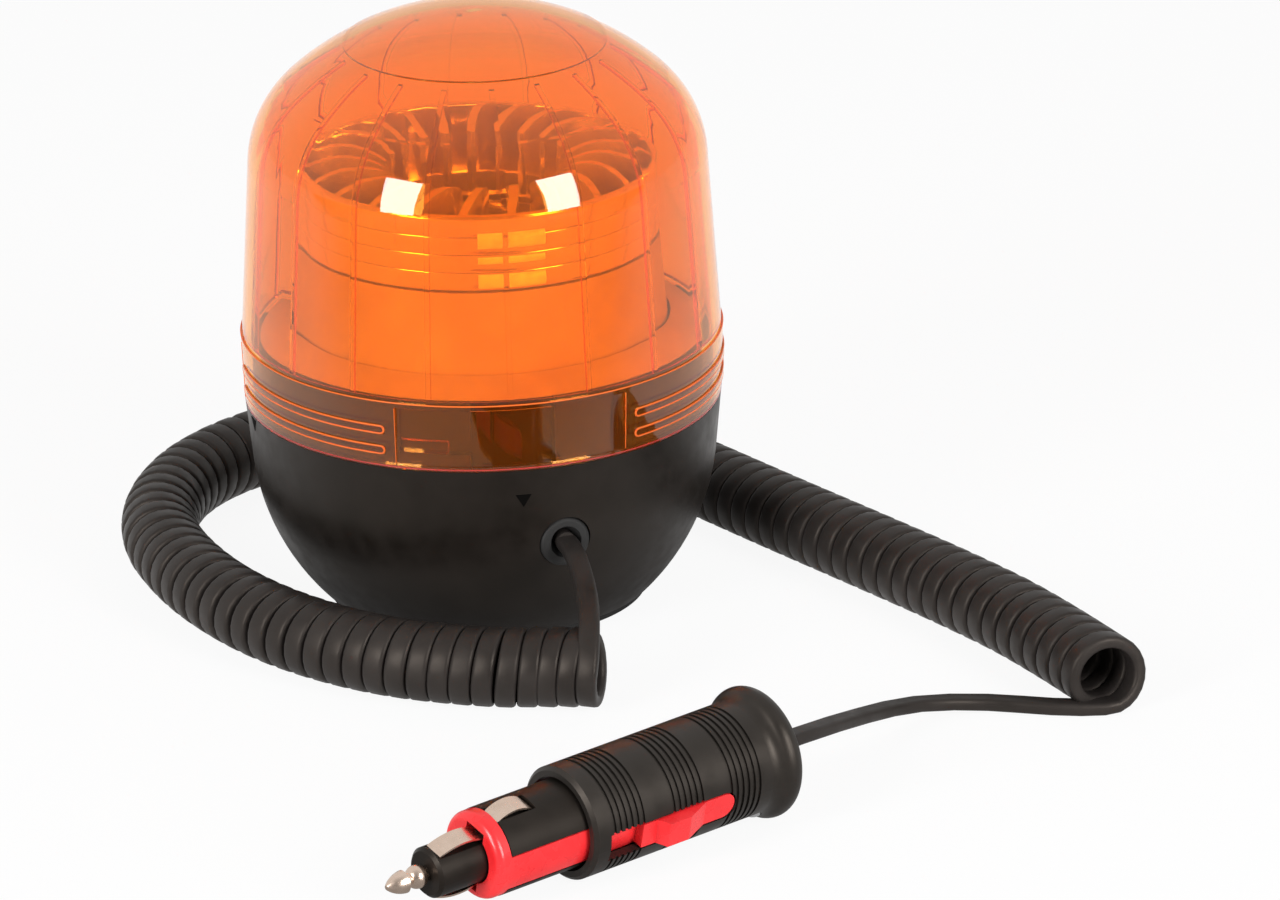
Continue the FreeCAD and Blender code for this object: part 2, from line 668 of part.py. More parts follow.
def screws(places, under_head, head_radius, head_height, radius, length):
    """Group of like screws that point down."""
    group = []
    for x, y in places:
        head = rod(head_radius, under_head, under_head + head_height, x, y)
        group.append(fused(head, rod(radius, under_head - length, under_head, x, y)))
    return Part.makeCompound(group)


def boss_places():
    return [polar(boss_circle, angle) for angle in BOSS_ANGLES]


def motor_screw_places():
    return [(motor_x + x, motor_y + y) for x, y in
            (polar(MOTOR_SCREW_CIRCLE, motor_angle + side) for side in (90.0, -90.0))]


def chassis_plate():
    low, high = chassis_bottom, chassis_top
    holes = [rod(SCREW_RADIUS + SEAT_GAP, low, high, x, y) for x, y in boss_places()]
    holes += [rod(MOTOR_SCREW_RADIUS + SEAT_GAP, low, high, x, y) for x, y in motor_screw_places()]
    holes.append(rod(MOTOR_BOSS + SEAT_GAP, low, high, motor_x, motor_y))
    holes.append(rod(IDLER_PIN_RADIUS + RUNNING_GAP, low, high, idler_x, idler_y))
    holes.append(rod(POST_WIRE_HOLE, low, high))
    return rod(chassis_radius, low, high).cut(holes)


def chassis_screws():
    return screws(boss_places(), chassis_top, SCREW_HEAD, SCREW_HEAD_HEIGHT, SCREW_RADIUS - RUNNING_GAP,
                  SCREW_LENGTH - SEAT_GAP)


def drive_cover():
    """Hat-shaped cover: flange on the collar's ledge, slightly tapered drum and an open top."""
    flange_top = cover_seat + COVER_WALL
    flange_edge = collar_inner - SEAT_GAP
    hole = HUB_FLANGE + COVER_HOLE_GAP
    foot, top = COVER_FOOT_RADIUS, COVER_TOP_RADIUS
    inner_top = cover_top - COVER_WALL
    hat = spin(outline((foot - COVER_WALL, cover_seat), (flange_edge, cover_seat), (flange_edge, flange_top),
                       (foot, flange_top), (top, cover_top), (hole, cover_top), (hole, inner_top),
                       (top - COVER_WALL, inner_top)))
    notches = []
    for angle in COVER_NOTCH_ANGLES:
        notch = Part.makeBox(COVER_NOTCH_DEPTH, COVER_NOTCH_WIDTH, COVER_WALL,
                             V(flange_edge - COVER_NOTCH_DEPTH, -COVER_NOTCH_WIDTH / 2, cover_seat))
        notches.append(turned(notch, angle - 90.0))
    return hat.cut(notches)


def motor_body():
    """Can with a rounded lower end, a locating boss and a blind bearing for the shaft."""
    can = rod(MOTOR_RADIUS, motor_bottom, chassis_bottom, motor_x, motor_y)
    low_edges = [e for e in can.Edges if e.BoundBox.ZMax - motor_bottom < Part.Precision.confusion()]
    can = can.makeFillet(MOTOR_ROUND, low_edges)
    can = fused(can, rod(MOTOR_BOSS, chassis_bottom, chassis_bottom + MOTOR_BOSS_HEIGHT, motor_x, motor_y))
    bearing = rod(MOTOR_SHAFT + RUNNING_GAP, chassis_bottom - MOTOR_BEARING,
                  chassis_bottom + MOTOR_BOSS_HEIGHT, motor_x, motor_y)
    depth = MOTOR_SCREW_LENGTH - CHASSIS_THICKNESS
    holes = [rod(MOTOR_SCREW_RADIUS, chassis_bottom - depth, chassis_bottom, x, y)
             for x, y in motor_screw_places()]
    return can.cut([bearing] + holes)


def motor_screws():
    return screws(motor_screw_places(), chassis_top, MOTOR_SCREW_HEAD, MOTOR_SCREW_HEAD_HEIGHT,
                  MOTOR_SCREW_RADIUS - RUNNING_GAP, MOTOR_SCREW_LENGTH - SEAT_GAP)


def motor_shaft():
    return rod(MOTOR_SHAFT, chassis_bottom - MOTOR_BEARING + SEAT_GAP, idler_step + PINION_MARGIN,
               motor_x, motor_y)


# Spur gears with involute flanks
def involute_angle(radius, base):
    """Polar angle of an involute at a radius."""
    tangent = math.sqrt(max((radius / base) ** 2 - 1.0, 0.0))
    return tangent - math.atan(tangent)


def tooth_flank(teeth, module):
    """Radii from root to tip, and half the tooth's angle at each."""
    pitch = module * teeth / 2
    base = pitch * math.cos(math.radians(PRESSURE_ANGLE))
    root = pitch - DEDENDUM * module
    tip = pitch + ADDENDUM * module
    half = math.pi / (2 * teeth) - BACKLASH / (4 * pitch)
    start = max(root, base)
    radii = [start + (tip - start) * i / (FLANK_POINTS - 1) for i in range(FLANK_POINTS)]
    if root < base:
        radii.insert(0, root)
    offset = half + involute_angle(pitch, base)
    return radii, [offset - involute_angle(r, base) for r in radii]


def spur_gear(teeth, module, bottom, top, tooth_at):
    """Toothed solid about Z. One tooth points at the angle tooth_at, in degrees."""
    radii, halves = tooth_flank(teeth, module)
    pitch_angle = 2 * math.pi / teeth

    def point(radius, angle):
        turn = angle + math.radians(tooth_at)
        return V(radius * math.cos(turn), radius * math.sin(turn), bottom)

    edges = []
    for i in range(teeth):
        middle = i * pitch_angle
        rise = [point(r, middle - h) for r, h in zip(radii, halves)]
        fall = [point(r, middle + h) for r, h in zip(radii, halves)][::-1]
        edges += [Part.makeLine(a, b) for a, b in zip(rise, rise[1:])]
        edges.append(Part.Arc(rise[-1], point(radii[-1], middle), fall[0]).toShape())
        edges += [Part.makeLine(a, b) for a, b in zip(fall, fall[1:])]
        following = point(radii[0], middle + pitch_angle - halves[0])
        edges.append(Part.Arc(fall[-1], point(radii[0], middle + pitch_angle / 2), following).toShape())
    return Part.Face(Part.Wire(edges)).extrude(V(0, 0, top - bottom))


def moved(shape, x, y):
    shape.translate(V(x, y, 0))
    return shape


def gap_at(angle, teeth):
    """Angle for a tooth so that a gap between teeth faces the given angle."""
    return angle + 180.0 / teeth


motor_bearing_angle = math.degrees(math.atan2(motor_y - idler_y, motor_x - idler_x))


def motor_pinion():
    low, high = idler_bottom - PINION_MARGIN, idler_step + PINION_MARGIN
    gear = spur_gear(MOTOR_TEETH, MOTOR_MODULE, low, high, gap_at(motor_bearing_angle + 180.0, MOTOR_TEETH))
    return moved(gear.cut(rod(MOTOR_SHAFT + RUNNING_GAP, low, high)), motor_x, motor_y)


def idler_pin():
    """Stepped pin pressed in the plate, with a head that keeps the idler on."""
    end = idler_top + FIT_GAP
    pin = spin(outline((0.0, chassis_bottom), (IDLER_PIN_RADIUS, chassis_bottom),
                       (IDLER_PIN_RADIUS, chassis_top), (IDLER_COLLAR, chassis_top),
                       (IDLER_COLLAR, idler_bottom - FIT_GAP),
                       (IDLER_PIN_RADIUS, idler_bottom - FIT_GAP), (IDLER_PIN_RADIUS, end), (IDLER_HEAD, end),
                       (IDLER_HEAD, end + IDLER_HEAD_HEIGHT), (0.0, end + IDLER_HEAD_HEIGHT)))
    return moved(pin, idler_x, idler_y)


def idler_gear():
    """Compound gear: large wheel driven by the motor, small pinion that drives the rotor."""
    wheel = spur_gear(IDLER_WHEEL_TEETH, MOTOR_MODULE, idler_bottom, idler_step, motor_bearing_angle)
    pinion = spur_gear(IDLER_PINION_TEETH, WHEEL_MODULE, idler_step, idler_top,
                       gap_at(IDLER_ANGLE + 180.0, IDLER_PINION_TEETH))
    bore = rod(IDLER_PIN_RADIUS + RUNNING_GAP, idler_bottom, idler_top)
    return moved(wheel.fuse(pinion).cut(bore), idler_x, idler_y)


def rotor_gear():
    top = rotor_bottom + ROTOR_GEAR_THICKNESS
    gear = spur_gear(ROTOR_TEETH, WHEEL_MODULE, rotor_bottom, top, IDLER_ANGLE)
    return gear.cut(rod(hub_outer + RUNNING_GAP, rotor_bottom, top))


def lamp_post():
    """Fixed tube on the axis: foot on the plate, shoulder under the rotor, groove for the clip."""
    low = chassis_top
    foot_top = low + POST_FOOT_HEIGHT
    clip_top = clip_bottom + CLIP_THICKNESS
    groove = POST_RADIUS - CLIP_GROOVE
    return spin(outline((POST_WIRE_HOLE, low), (POST_FOOT_RADIUS, low), (POST_FOOT_RADIUS, foot_top),
                        (POST_SHOULDER, foot_top), (POST_SHOULDER, rotor_seat), (POST_RADIUS, rotor_seat),
                        (POST_RADIUS, clip_bottom), (groove, clip_bottom), (groove, clip_top),
                        (POST_RADIUS, clip_top), (POST_RADIUS, post_top), (POST_BORE, post_top),
                        (POST_BORE, insulator_bottom), (POST_WIRE_HOLE, insulator_bottom)))


def thrust_washer():
    return ring(POST_RADIUS + SEAT_GAP, POST_SHOULDER, rotor_seat, rotor_seat + WASHER_THICKNESS)


def retaining_ring():
    inner = POST_RADIUS - CLIP_GROOVE + RUNNING_GAP
    clip = ring(inner, POST_RADIUS + CLIP_REACH, clip_bottom, clip_bottom + CLIP_THICKNESS)
    mouth = Part.makeBox(POST_RADIUS + CLIP_REACH, 2 * CLIP_REACH, CLIP_THICKNESS,
                         V(0, -CLIP_REACH, clip_bottom))
    return clip.cut(mouth)


def rotor_hub():
    """Sleeve on the post that flares to the flange under the rotor wheel."""
    shoulder_low = rotor_bottom + ROTOR_GEAR_THICKNESS
    shoulder_high = shoulder_low + HUB_SHOULDER_HEIGHT
    shoulder = hub_outer + HUB_SHOULDER
    clip_room = POST_RADIUS + CLIP_REACH + FIT_GAP
    flare = post_top + FIT_GAP
    flange_low = wheel_bottom - HUB_FLANGE_HEIGHT
    return spin(outline((hub_bore, rotor_bottom), (hub_outer, rotor_bottom), (hub_outer, shoulder_low),
                        (shoulder, shoulder_low), (shoulder, shoulder_high), (hub_outer, shoulder_high),
                        (hub_outer, sleeve_top - HUB_SKIN), (clip_room + HUB_SKIN, sleeve_top),
                        (HUB_FLANGE, flange_low), (HUB_FLANGE, wheel_bottom), (HUB_THROAT, wheel_bottom),
                        (HUB_THROAT, flange_low), (clip_room, flare), (clip_room, sleeve_top),
                        (hub_bore, sleeve_top)))


def vane_plan():
    """One vane seen from above: a bowed strip that turns from the throat to the rim."""
    start = V(*polar(vane_nose, VANE_START), wheel_bottom)
    end = V(*polar(wheel_lip, VANE_START + VANE_SWIRL), wheel_bottom)
    chord = (end - start).normalize()
    across = V(-chord.y, chord.x, 0)
    side = across * (VANE_THICKNESS / 2)
    middle = (start + end) * 0.5 + across * VANE_BOW
    edges = [Part.Arc(start - side, middle - side, end - side).toShape(),
             Part.makeLine(end - side, end + side),
             Part.Arc(end + side, middle + side, start + side).toShape(),
             Part.makeLine(start + side, start - side)]
    return Part.Face(Part.Wire(edges))


def vane_wheel():
    """Rotor wheel: floor, outer band, throat ring and swirled vanes with a rounded crest."""
    floor_high = wheel_bottom + WHEEL_FLOOR
    ledge = THROAT_RADIUS - THROAT_LEDGE
    throat_outer = THROAT_RADIUS + THROAT_WALL
    throat_top = wheel_bottom + THROAT_HEIGHT
    rim_inner = WHEEL_RADIUS - WHEEL_WALL
    rim_shoulder = wheel_top - WHEEL_WALL / 2
    shell = spin(outline((ledge, wheel_bottom), (WHEEL_RADIUS, wheel_bottom), (WHEEL_RADIUS, rim_shoulder),
                         ((wheel_lip, wheel_top), (rim_inner, rim_shoulder)), (rim_inner, floor_high),
                         (throat_outer, floor_high), (throat_outer, throat_top), (THROAT_RADIUS, throat_top),
                         (THROAT_RADIUS, floor_high), (ledge, floor_high)))
    crest = (VANE_CREST_RADIUS, wheel_top + VANE_CREST)
    room = spin(outline((vane_nose, wheel_bottom), (wheel_lip, wheel_bottom),
                        (wheel_lip, wheel_top - VANE_RIM_DROP),
                        (crest, (vane_nose, wheel_top - VANE_NOSE_DROP))))
    vane = vane_plan().extrude(V(0, 0, WHEEL_HEIGHT + 2 * VANE_CREST)).common(room)
    vanes = [turned(vane, 360.0 * i / VANE_COUNT) for i in range(VANE_COUNT)]
    return shell.multiFuse(vanes)


def bulb_socket():
    """Brass tube with two slots for the bulb's pins."""
    outer = POST_BORE - RUNNING_GAP
    tube = ring(outer - SOCKET_WALL, outer, insulator_top, post_top)
    slot_low = cap_bottom + BULB_PIN_LIFT - SOCKET_SLOT / 2
    slot = Part.makeBox(2 * outer, SOCKET_SLOT, post_top - slot_low, V(-outer, -SOCKET_SLOT / 2, slot_low))
    return tube.cut(slot)


def socket_insulator():
    return rod(POST_BORE - SEAT_GAP, insulator_bottom, insulator_top)


def lamp_contact():
    return rod(CONTACT_RADIUS, insulator_top, cap_bottom)


def bulb_cap():
    """Bayonet cap with two side pins."""
    pin_height = cap_bottom + BULB_PIN_LIFT
    reach = POST_BORE - RUNNING_GAP
    pins = Part.makeCylinder(BULB_PIN_RADIUS, 2 * reach, V(-reach, 0, pin_height), V(1, 0, 0))
    return fused(rod(BULB_CAP_RADIUS, cap_bottom, cap_top), pins)


def bulb_outline(inset):
    """Half outline of the glass, offset inwards."""
    low = cap_top + inset
    neck, widest = BULB_NECK - inset, BULB_RADIUS - inset
    flare_low = cap_top + BULB_NECK_HEIGHT
    flare_high = flare_low + BULB_FLARE_HEIGHT
    crown = cap_top + BULB_LENGTH - BULB_RADIUS
    bulge = ((neck + widest) / 2, (flare_low + flare_high) / 2)
    quarter = widest * math.sqrt(0.5)
    return outline((0.0, low), (neck, low), (neck, flare_low), bulge, (widest, flare_high), (widest, crown),
                   ((quarter, crown + quarter), (0.0, crown + widest)))


def bulb_glass():
    return spin(bulb_outline(0.0)).cut(spin(bulb_outline(BULB_WALL)))


def bulb_filament():
    """Glass stem, two supports and the coil between them."""
    low = cap_top + BULB_WALL
    half = FILAMENT_SPAN / 2
    high = low + FILAMENT_HEIGHT
    stem = rod(STEM_RADIUS, low, low + STEM_HEIGHT)
    supports = []
    for side in (-1, 1):
        foot = V(side * STEM_RADIUS / 2, 0, low + STEM_HEIGHT / 2)
        head = V(side * half, 0, high)
        supports.append(Part.makeCylinder(WIRE_SUPPORT, (head - foot).Length, foot, head - foot))
    coil = Part.makeCylinder(FILAMENT_RADIUS, FILAMENT_SPAN, V(-half, 0, high), V(1, 0, 0))
    return fused(stem, coil, *supports)


def circuit_board():
    """Board hung from the plate, with a capacitor and a choke on its inner face."""
    face = -board_distance
    low = chassis_bottom - BOARD_HEIGHT
    board = Part.makeBox(BOARD_WIDTH, BOARD_THICKNESS, BOARD_HEIGHT,
                         V(-BOARD_WIDTH / 2, face - BOARD_THICKNESS, low))
    height = chassis_bottom - BOARD_PART_DROP
    capacitor = Part.makeCylinder(CAPACITOR_RADIUS, CAPACITOR_LENGTH, V(CAPACITOR_OFFSET, face, height),
                                  V(0, 1, 0))
    choke = Part.makeBox(CHOKE_SIZE, CHOKE_SIZE, CHOKE_SIZE, V(CHOKE_OFFSET, face, height - CHOKE_SIZE / 2))
    return fused(board, capacitor, choke)


def unit(vector):
    return vector * (1.0 / vector.Length)


def tube(points, diameter, name):
    """Round tube along straight runs joined by tangent arcs as large as the runs allow."""
    here = points[0]
    edges = []
    radii = []
    for before, corner, after in zip(points, points[1:], points[2:]):
        back, ahead = before - corner, after - corner
        half_turn = (math.pi - back.getAngle(ahead)) / 2
        cut = ARC_SHARE * min(back.Length, ahead.Length)
        radius = cut / math.tan(half_turn)
        start, end = corner + unit(back) * cut, corner + unit(ahead) * cut
        inwards = unit(unit(back) + unit(ahead))
        middle = corner + inwards * (radius / math.cos(half_turn) - radius)
        edges += [Part.makeLine(here, start), Part.Arc(start, middle, end).toShape()]
        radii.append(round(radius, 1))
        here = end
    edges.append(Part.makeLine(here, points[-1]))
    path = Part.Wire(edges)
    disc = Part.Wire(Part.makeCircle(diameter / 2, points[0], points[1] - points[0]))
    solid = path.makePipeShell([disc], True, False)
    share = solid.Volume / (math.pi * diameter ** 2 / 4 * path.Length)
    print(f"{name}: length {path.Length:.1f}, volume share {share:.4f}, radii {radii}")
    return solid


def lamp_wires():
    """Two wires from the board to the lamp holder."""
    height = chassis_bottom - LAMP_WIRE_DROP
    wires = []
    for x in LAMP_WIRE_OFFSETS:
        route = [V(x, -board_distance, height), V(x, 0, height), V(x, 0, insulator_bottom)]
        wires.append(tube(route, 2 * WIRE_RADIUS, "lamp wire"))
    return Part.makeCompound(wires)


def motor_wires():
    """Two wires from the board to the motor's lower end."""
    height = chassis_bottom - MOTOR_WIRE_DROP
    low = motor_bottom - MOTOR_WIRE_SAG
    wires = []
    for x in MOTOR_WIRE_OFFSETS:
        route = [V(x, -board_distance, height), V(x, 0, low), V(x, MOTOR_WIRE_REACH, low),
                 V(x, MOTOR_WIRE_REACH, motor_bottom)]
        wires.append(tube(route, 2 * WIRE_RADIUS, "motor wire"))
    return Part.makeCompound(wires)


def supply_tail():
    """The cord's end inside the bowl, from the grommet's face to the board."""
    return along_y(STRAND / 2, board_distance + BOARD_THICKNESS, grommet_face, GROMMET_HEIGHT)


# Plug pieces, made along +Z with the leaf springs towards +Y and the arms towards +X and -X
ring_front = BARREL_END + SEAT_GAP + SLIDE_RING
handle_mouth = HANDLE_END - HANDLE_CHAMFER
plug_slope = math.atan((FLANGE_RADIUS - HANDLE_RADIUS) / (handle_mouth - FLANGE_ROUND))


def plug_placement():
    """Where the plug lies: its flange and the mouth of its handle both rest on the ground."""
    heading = math.radians(PLUG_HEADING)
    level = V(math.cos(heading), math.sin(heading), 0)
    axis = level * math.cos(plug_slope) - V(0, 0, 1) * math.sin(plug_slope)
    top = level * math.sin(plug_slope) + V(0, 0, 1) * math.cos(plug_slope)
    frame = FreeCAD.Rotation(top.cross(axis), top, axis, "ZXY")
    roll = FreeCAD.Rotation(V(0, 0, 1), PLUG_ROLL)
    height = FLANGE_RADIUS * math.cos(plug_slope) + FLANGE_ROUND * math.sin(plug_slope)
    return FreeCAD.Placement(V(*PLUG_REAR, height + CORD_LIFT), frame.multiply(roll))


def rounded(radius):
    """How far the middle of a quarter round lies from both of its sides."""
    return radius * (1 - math.sqrt(0.5))


def bead_front(bead, slant):
    """Middle of the bead's front arc, between its crest and the direction in which the hollow starts."""
    middle = bead + (slant + V(1, 0, 0)).normalize() * FLANGE_ROUND
    return middle.x, middle.z


def handle_body():
    """Whole handle before it is split: flange, grip grooves, bore and side slots."""
    cord_room = STRAND / 2 + RUNNING_GAP
    bead = V(FLANGE_RADIUS - FLANGE_ROUND, 0, FLANGE_ROUND)
    reach = HANDLE_RADIUS + FLANGE_BLEND - bead.x
    blend = bead + V(reach, 0, math.sqrt((FLANGE_ROUND + FLANGE_BLEND) ** 2 - reach ** 2))
    slant = (blend - bead).normalize()
    meet = bead + slant * FLANGE_ROUND
    hollow = blend - (slant + V(1, 0, 0)).normalize() * FLANGE_BLEND
    body = spin(outline((0.0, CORD_SEAT), (cord_room, CORD_SEAT), (cord_room, 0.0), (bead.x, 0.0),
                        ((FLANGE_RADIUS - rounded(FLANGE_ROUND), rounded(FLANGE_ROUND)),
                         (FLANGE_RADIUS, FLANGE_ROUND)), (bead_front(bead, slant), (meet.x, meet.z)),
                        ((hollow.x, hollow.z), (HANDLE_RADIUS, blend.z)),
                        (HANDLE_RADIUS, handle_mouth), (HANDLE_RADIUS - HANDLE_CHAMFER, HANDLE_END),
                        (HANDLE_BORE, HANDLE_END), (HANDLE_BORE, HANDLE_FLOOR), (0.0, HANDLE_FLOOR)))
    cuts = []
    for start in GROOVE_STARTS:
        for i in range(GROOVE_COUNT):
            low = start + i * GROOVE_PITCH
            cuts.append(ring(HANDLE_RADIUS - GROOVE_DEPTH, FLANGE_RADIUS, low, low + GROOVE_WIDTH))
    round_end = SLOT_START + SLOT_WIDTH / 2
    across = 2 * FLANGE_RADIUS
    cuts.append(Part.makeBox(across, SLOT_WIDTH, SLOT_END - round_end,
                             V(-across / 2, -SLOT_WIDTH / 2, round_end)))
    cuts.append(Part.makeCylinder(SLOT_WIDTH / 2, across, V(-across / 2, 0, round_end), V(1, 0, 0)))
    return body.cut(cuts)


def handle_half(side):
    """Half of the handle above or below the plane of its slots, with its share of the screw holes."""
    reach = 2 * FLANGE_RADIUS
    low = 0.0 if side > 0 else -reach
    half = handle_body().common(Part.makeBox(2 * reach, reach, PLUG_LENGTH, V(-reach, low, 0)))
    holes = []
    for x in (-PLUG_SCREW_OFFSET, PLUG_SCREW_OFFSET):
        holes.append(upright(PLUG_SCREW_RADIUS + RUNNING_GAP, x, plug_screw_seat(), PLUG_SCREW_BITE))
        holes.append(upright(PLUG_SCREW_HEAD + SEAT_GAP, x, -reach, plug_screw_seat()))
    return half.cut(holes)


def upright(radius, x, low, high):
    """Rod along the plug's own Y at the screws' station."""
    return Part.makeCylinder(radius, high - low, V(x, low, PLUG_SCREW_STATION), V(0, 1, 0))


def plug_screw_seat():
    """Seat of a screw head, above the handle's underside at the screw."""
    return PLUG_SCREW_SINK - math.sqrt(HANDLE_RADIUS ** 2 - PLUG_SCREW_OFFSET ** 2)


def plug_screws():
    seat = plug_screw_seat()
    group = []
    for x in (-PLUG_SCREW_OFFSET, PLUG_SCREW_OFFSET):
        head = upright(PLUG_SCREW_HEAD, x, seat - PLUG_SCREW_HEAD_HEIGHT, seat)
        group.append(fused(head, upright(PLUG_SCREW_RADIUS, x, seat, PLUG_SCREW_BITE - SEAT_GAP)))
    return Part.makeCompound(group)


def sides(width, near, far, low, high):
    """Two boxes, one each side of the plug's axis along X."""
    box = Part.makeBox(far - near, width, high - low, V(near, -width / 2, low))
    return [box, turned(box, 180.0)]


def plug_core():
    """Black barrel and nose, with channels for the adapter's arms and slots for the leaf springs."""
    core = spin(outline((0.0, HANDLE_FLOOR), (BARREL_RADIUS, HANDLE_FLOOR), (BARREL_RADIUS, BARREL_END),
                        (NOSE_RADIUS, BARREL_END), (NOSE_RADIUS, NOSE_END - NOSE_CHAMFER),
                        (NOSE_RADIUS - NOSE_CHAMFER, NOSE_END), (0.0, NOSE_END)))
    cuts = sides(ARM_WIDTH + 2 * FIT_GAP, ARM_INNER - FIT_GAP, HANDLE_RADIUS, HANDLE_FLOOR, BARREL_END)
    width = LEAF_WIDTH + 2 * LEAF_SLOT_GAP
    leaves = ((NOSE_LEAF, NOSE_RADIUS - NOSE_LEAF_SINK), (BARREL_LEAF, BARREL_RADIUS - BARREL_LEAF_SINK))
    for (low, high), floor in leaves:
        cuts += [turned(box, 90.0) for box in
                 sides(width, floor, HANDLE_RADIUS, low - LEAF_SLOT_GAP, high + LEAF_SLOT_GAP)]
    cuts.append(rod(TIP_SHANK + RUNNING_GAP, NOSE_END - TIP_SHANK_DEPTH, NOSE_END))
    return core.cut(cuts)


def adapter_slide():
    """Red ring round the nose with two arms that run back to thumb pads in the handle's slots."""
    low = BARREL_END + SEAT_GAP
    bend = rounded(SLIDE_ROUND)
    collar = spin(outline((SLIDE_BORE, low), (SLIDE_RADIUS, low), (SLIDE_RADIUS, ring_front - SLIDE_ROUND),
                          ((SLIDE_RADIUS - bend, ring_front - bend),
                           (SLIDE_RADIUS - SLIDE_ROUND, ring_front)), (SLIDE_BORE, ring_front)))
    notch = LEAF_WIDTH + 4 * LEAF_SLOT_GAP
    reach = NOSE_RADIUS + NOSE_LEAF_RISE + 2 * FIT_GAP
    collar = collar.cut([turned(box, 90.0) for box in sides(notch, 0.0, reach, low, ring_front)])
    arms = [box.common(rod(SLIDE_RADIUS, ARM_START, low + SLIDE_RING / 2))
            for box in sides(ARM_WIDTH, ARM_INNER, HANDLE_RADIUS, ARM_START, low + SLIDE_RING / 2)]
    pad_width = SLOT_WIDTH - 2 * FIT_GAP - SEAT_GAP
    pad = outline((ARM_INNER, PAD_START), (PAD_TAIL, PAD_START), (PAD_REACH, PAD_START + PAD_SLOPE),
                  (PAD_REACH, PAD_END - PAD_FRONT), (PAD_TAIL, PAD_END), (PAD_TAIL, PAD_STEP),
                  (ARM_INNER, PAD_STEP)).extrude(V(0, pad_width, 0))
    pad.translate(V(0, -pad_width / 2, 0))
    tail_end = SLOT_START + SLOT_WIDTH / 2
    tail = Part.makeBox(PAD_TAIL - ARM_INNER, pad_width, PAD_START - tail_end,
                        V(ARM_INNER, -pad_width / 2, tail_end))
    tip = Part.makeCylinder(pad_width / 2, PAD_TAIL - ARM_INNER, V(ARM_INNER, 0, tail_end), V(1, 0, 0))
    pads = [turned(piece, angle) for piece in (pad, tail, tip) for angle in (0.0, 180.0)]
    return fused(collar, *arms, *pads)


def leaf_pair(span, floor, crest):
    """Two bowed leaf springs, on opposite sides of the axis."""
    low, high = span
    middle = (low + high) / 2
    inner = crest - LEAF_THICKNESS
    leaf = outline((floor, low), (floor + LEAF_THICKNESS, low),
                   ((crest, middle), (floor + LEAF_THICKNESS, high)), (floor, high),
                   ((inner, middle), (floor, low))).extrude(V(0, LEAF_WIDTH, 0))
    leaf.translate(V(0, -LEAF_WIDTH / 2, 0))
    return Part.makeCompound([turned(leaf, 90.0), turned(leaf, -90.0)])


def nose_contacts():
    return leaf_pair(NOSE_LEAF, NOSE_RADIUS - NOSE_LEAF_SINK, NOSE_RADIUS + NOSE_LEAF_RISE)


def barrel_contacts():
    return leaf_pair(BARREL_LEAF, BARREL_RADIUS - BARREL_LEAF_SINK, BARREL_RADIUS + BARREL_LEAF_RISE)


def tip_contact():
    """Centre pin with a ball, a neck and a bowed cone with a blunt tip."""
    cone_foot = PLUG_LENGTH - TIP_CONE_LENGTH
    cone_end = PLUG_LENGTH - rounded(TIP_ROUND)
    ball = cone_foot - TIP_BALL_GAP - TIP_BALL
    ball_low = ball - math.sqrt(TIP_BALL ** 2 - TIP_SHANK ** 2)
    ball_high = ball + math.sqrt(TIP_BALL ** 2 - TIP_NECK ** 2)
    side = ((TIP_CONE + TIP_ROUND) / 2 + TIP_BOW, (cone_foot + cone_end) / 2 + TIP_BOW)
    return spin(outline((0.0, NOSE_END - TIP_SHANK_DEPTH), (TIP_SHANK, NOSE_END - TIP_SHANK_DEPTH),
                        (TIP_SHANK, ball_low), ((TIP_BALL, ball), (TIP_NECK, ball_high)),
                        (TIP_NECK, cone_foot - TIP_BACK), (TIP_CONE, cone_foot),
                        (side, (TIP_ROUND, cone_end)), (0.0, PLUG_LENGTH)))


# Cord
def grounded(x, y, diameter):
    return V(x, y, diameter / 2 + CORD_LIFT)


def cord_tail():
    """Cord from the grommet to the start of the curl."""
    start = V(0, -grommet_face, GROMMET_HEIGHT)
    return tube([start] + [V(*p) for p in TAIL_POINTS], STRAND, "cord tail")


def cord_curl():
    """Outside of the curly stretch as one fat tube."""
    return tube([grounded(x, y, CURL) for x, y in CURL_ROUTE], CURL, "cord curl")


def cord_lead():
    """Cord from the end of the curl to the plug."""
    place = plug_placement()
    entry = place.multVec(V(0, 0, CORD_SEAT))
    outside = place.multVec(V(0, 0, -2 * CORD_SEAT))
    return tube([V(*p) for p in LEAD_POINTS] + [outside, entry], STRAND, "cord lead")


LAMP_PIECES = (base_housing, lens_dome, dome_seal, rubber_foot, magnet_cup, ring_magnet, magnet_bolt,
               magnet_nut, cord_grommet, chassis_plate, chassis_screws, drive_cover, motor_body,
               motor_screws, motor_shaft, motor_pinion, idler_pin, idler_gear, lamp_post, thrust_washer,
               retaining_ring, rotor_hub, rotor_gear, vane_wheel, bulb_socket, socket_insulator,
               lamp_contact, bulb_cap, bulb_glass, bulb_filament, circuit_board, lamp_wires, motor_wires,
               supply_tail, cord_tail, cord_curl, cord_lead)
PLUG_PIECES = (plug_core, plug_screws, adapter_slide, nose_contacts, barrel_contacts, tip_contact)


def save(shape, name):
    volumes = [solid.Volume for solid in shape.Solids]
    print(f"{name}: {len(volumes)} solids, {sum(volumes):.1f} mm3, valid {shape.isValid()}")
    shape.exportStep(f"parts/{name}.step")


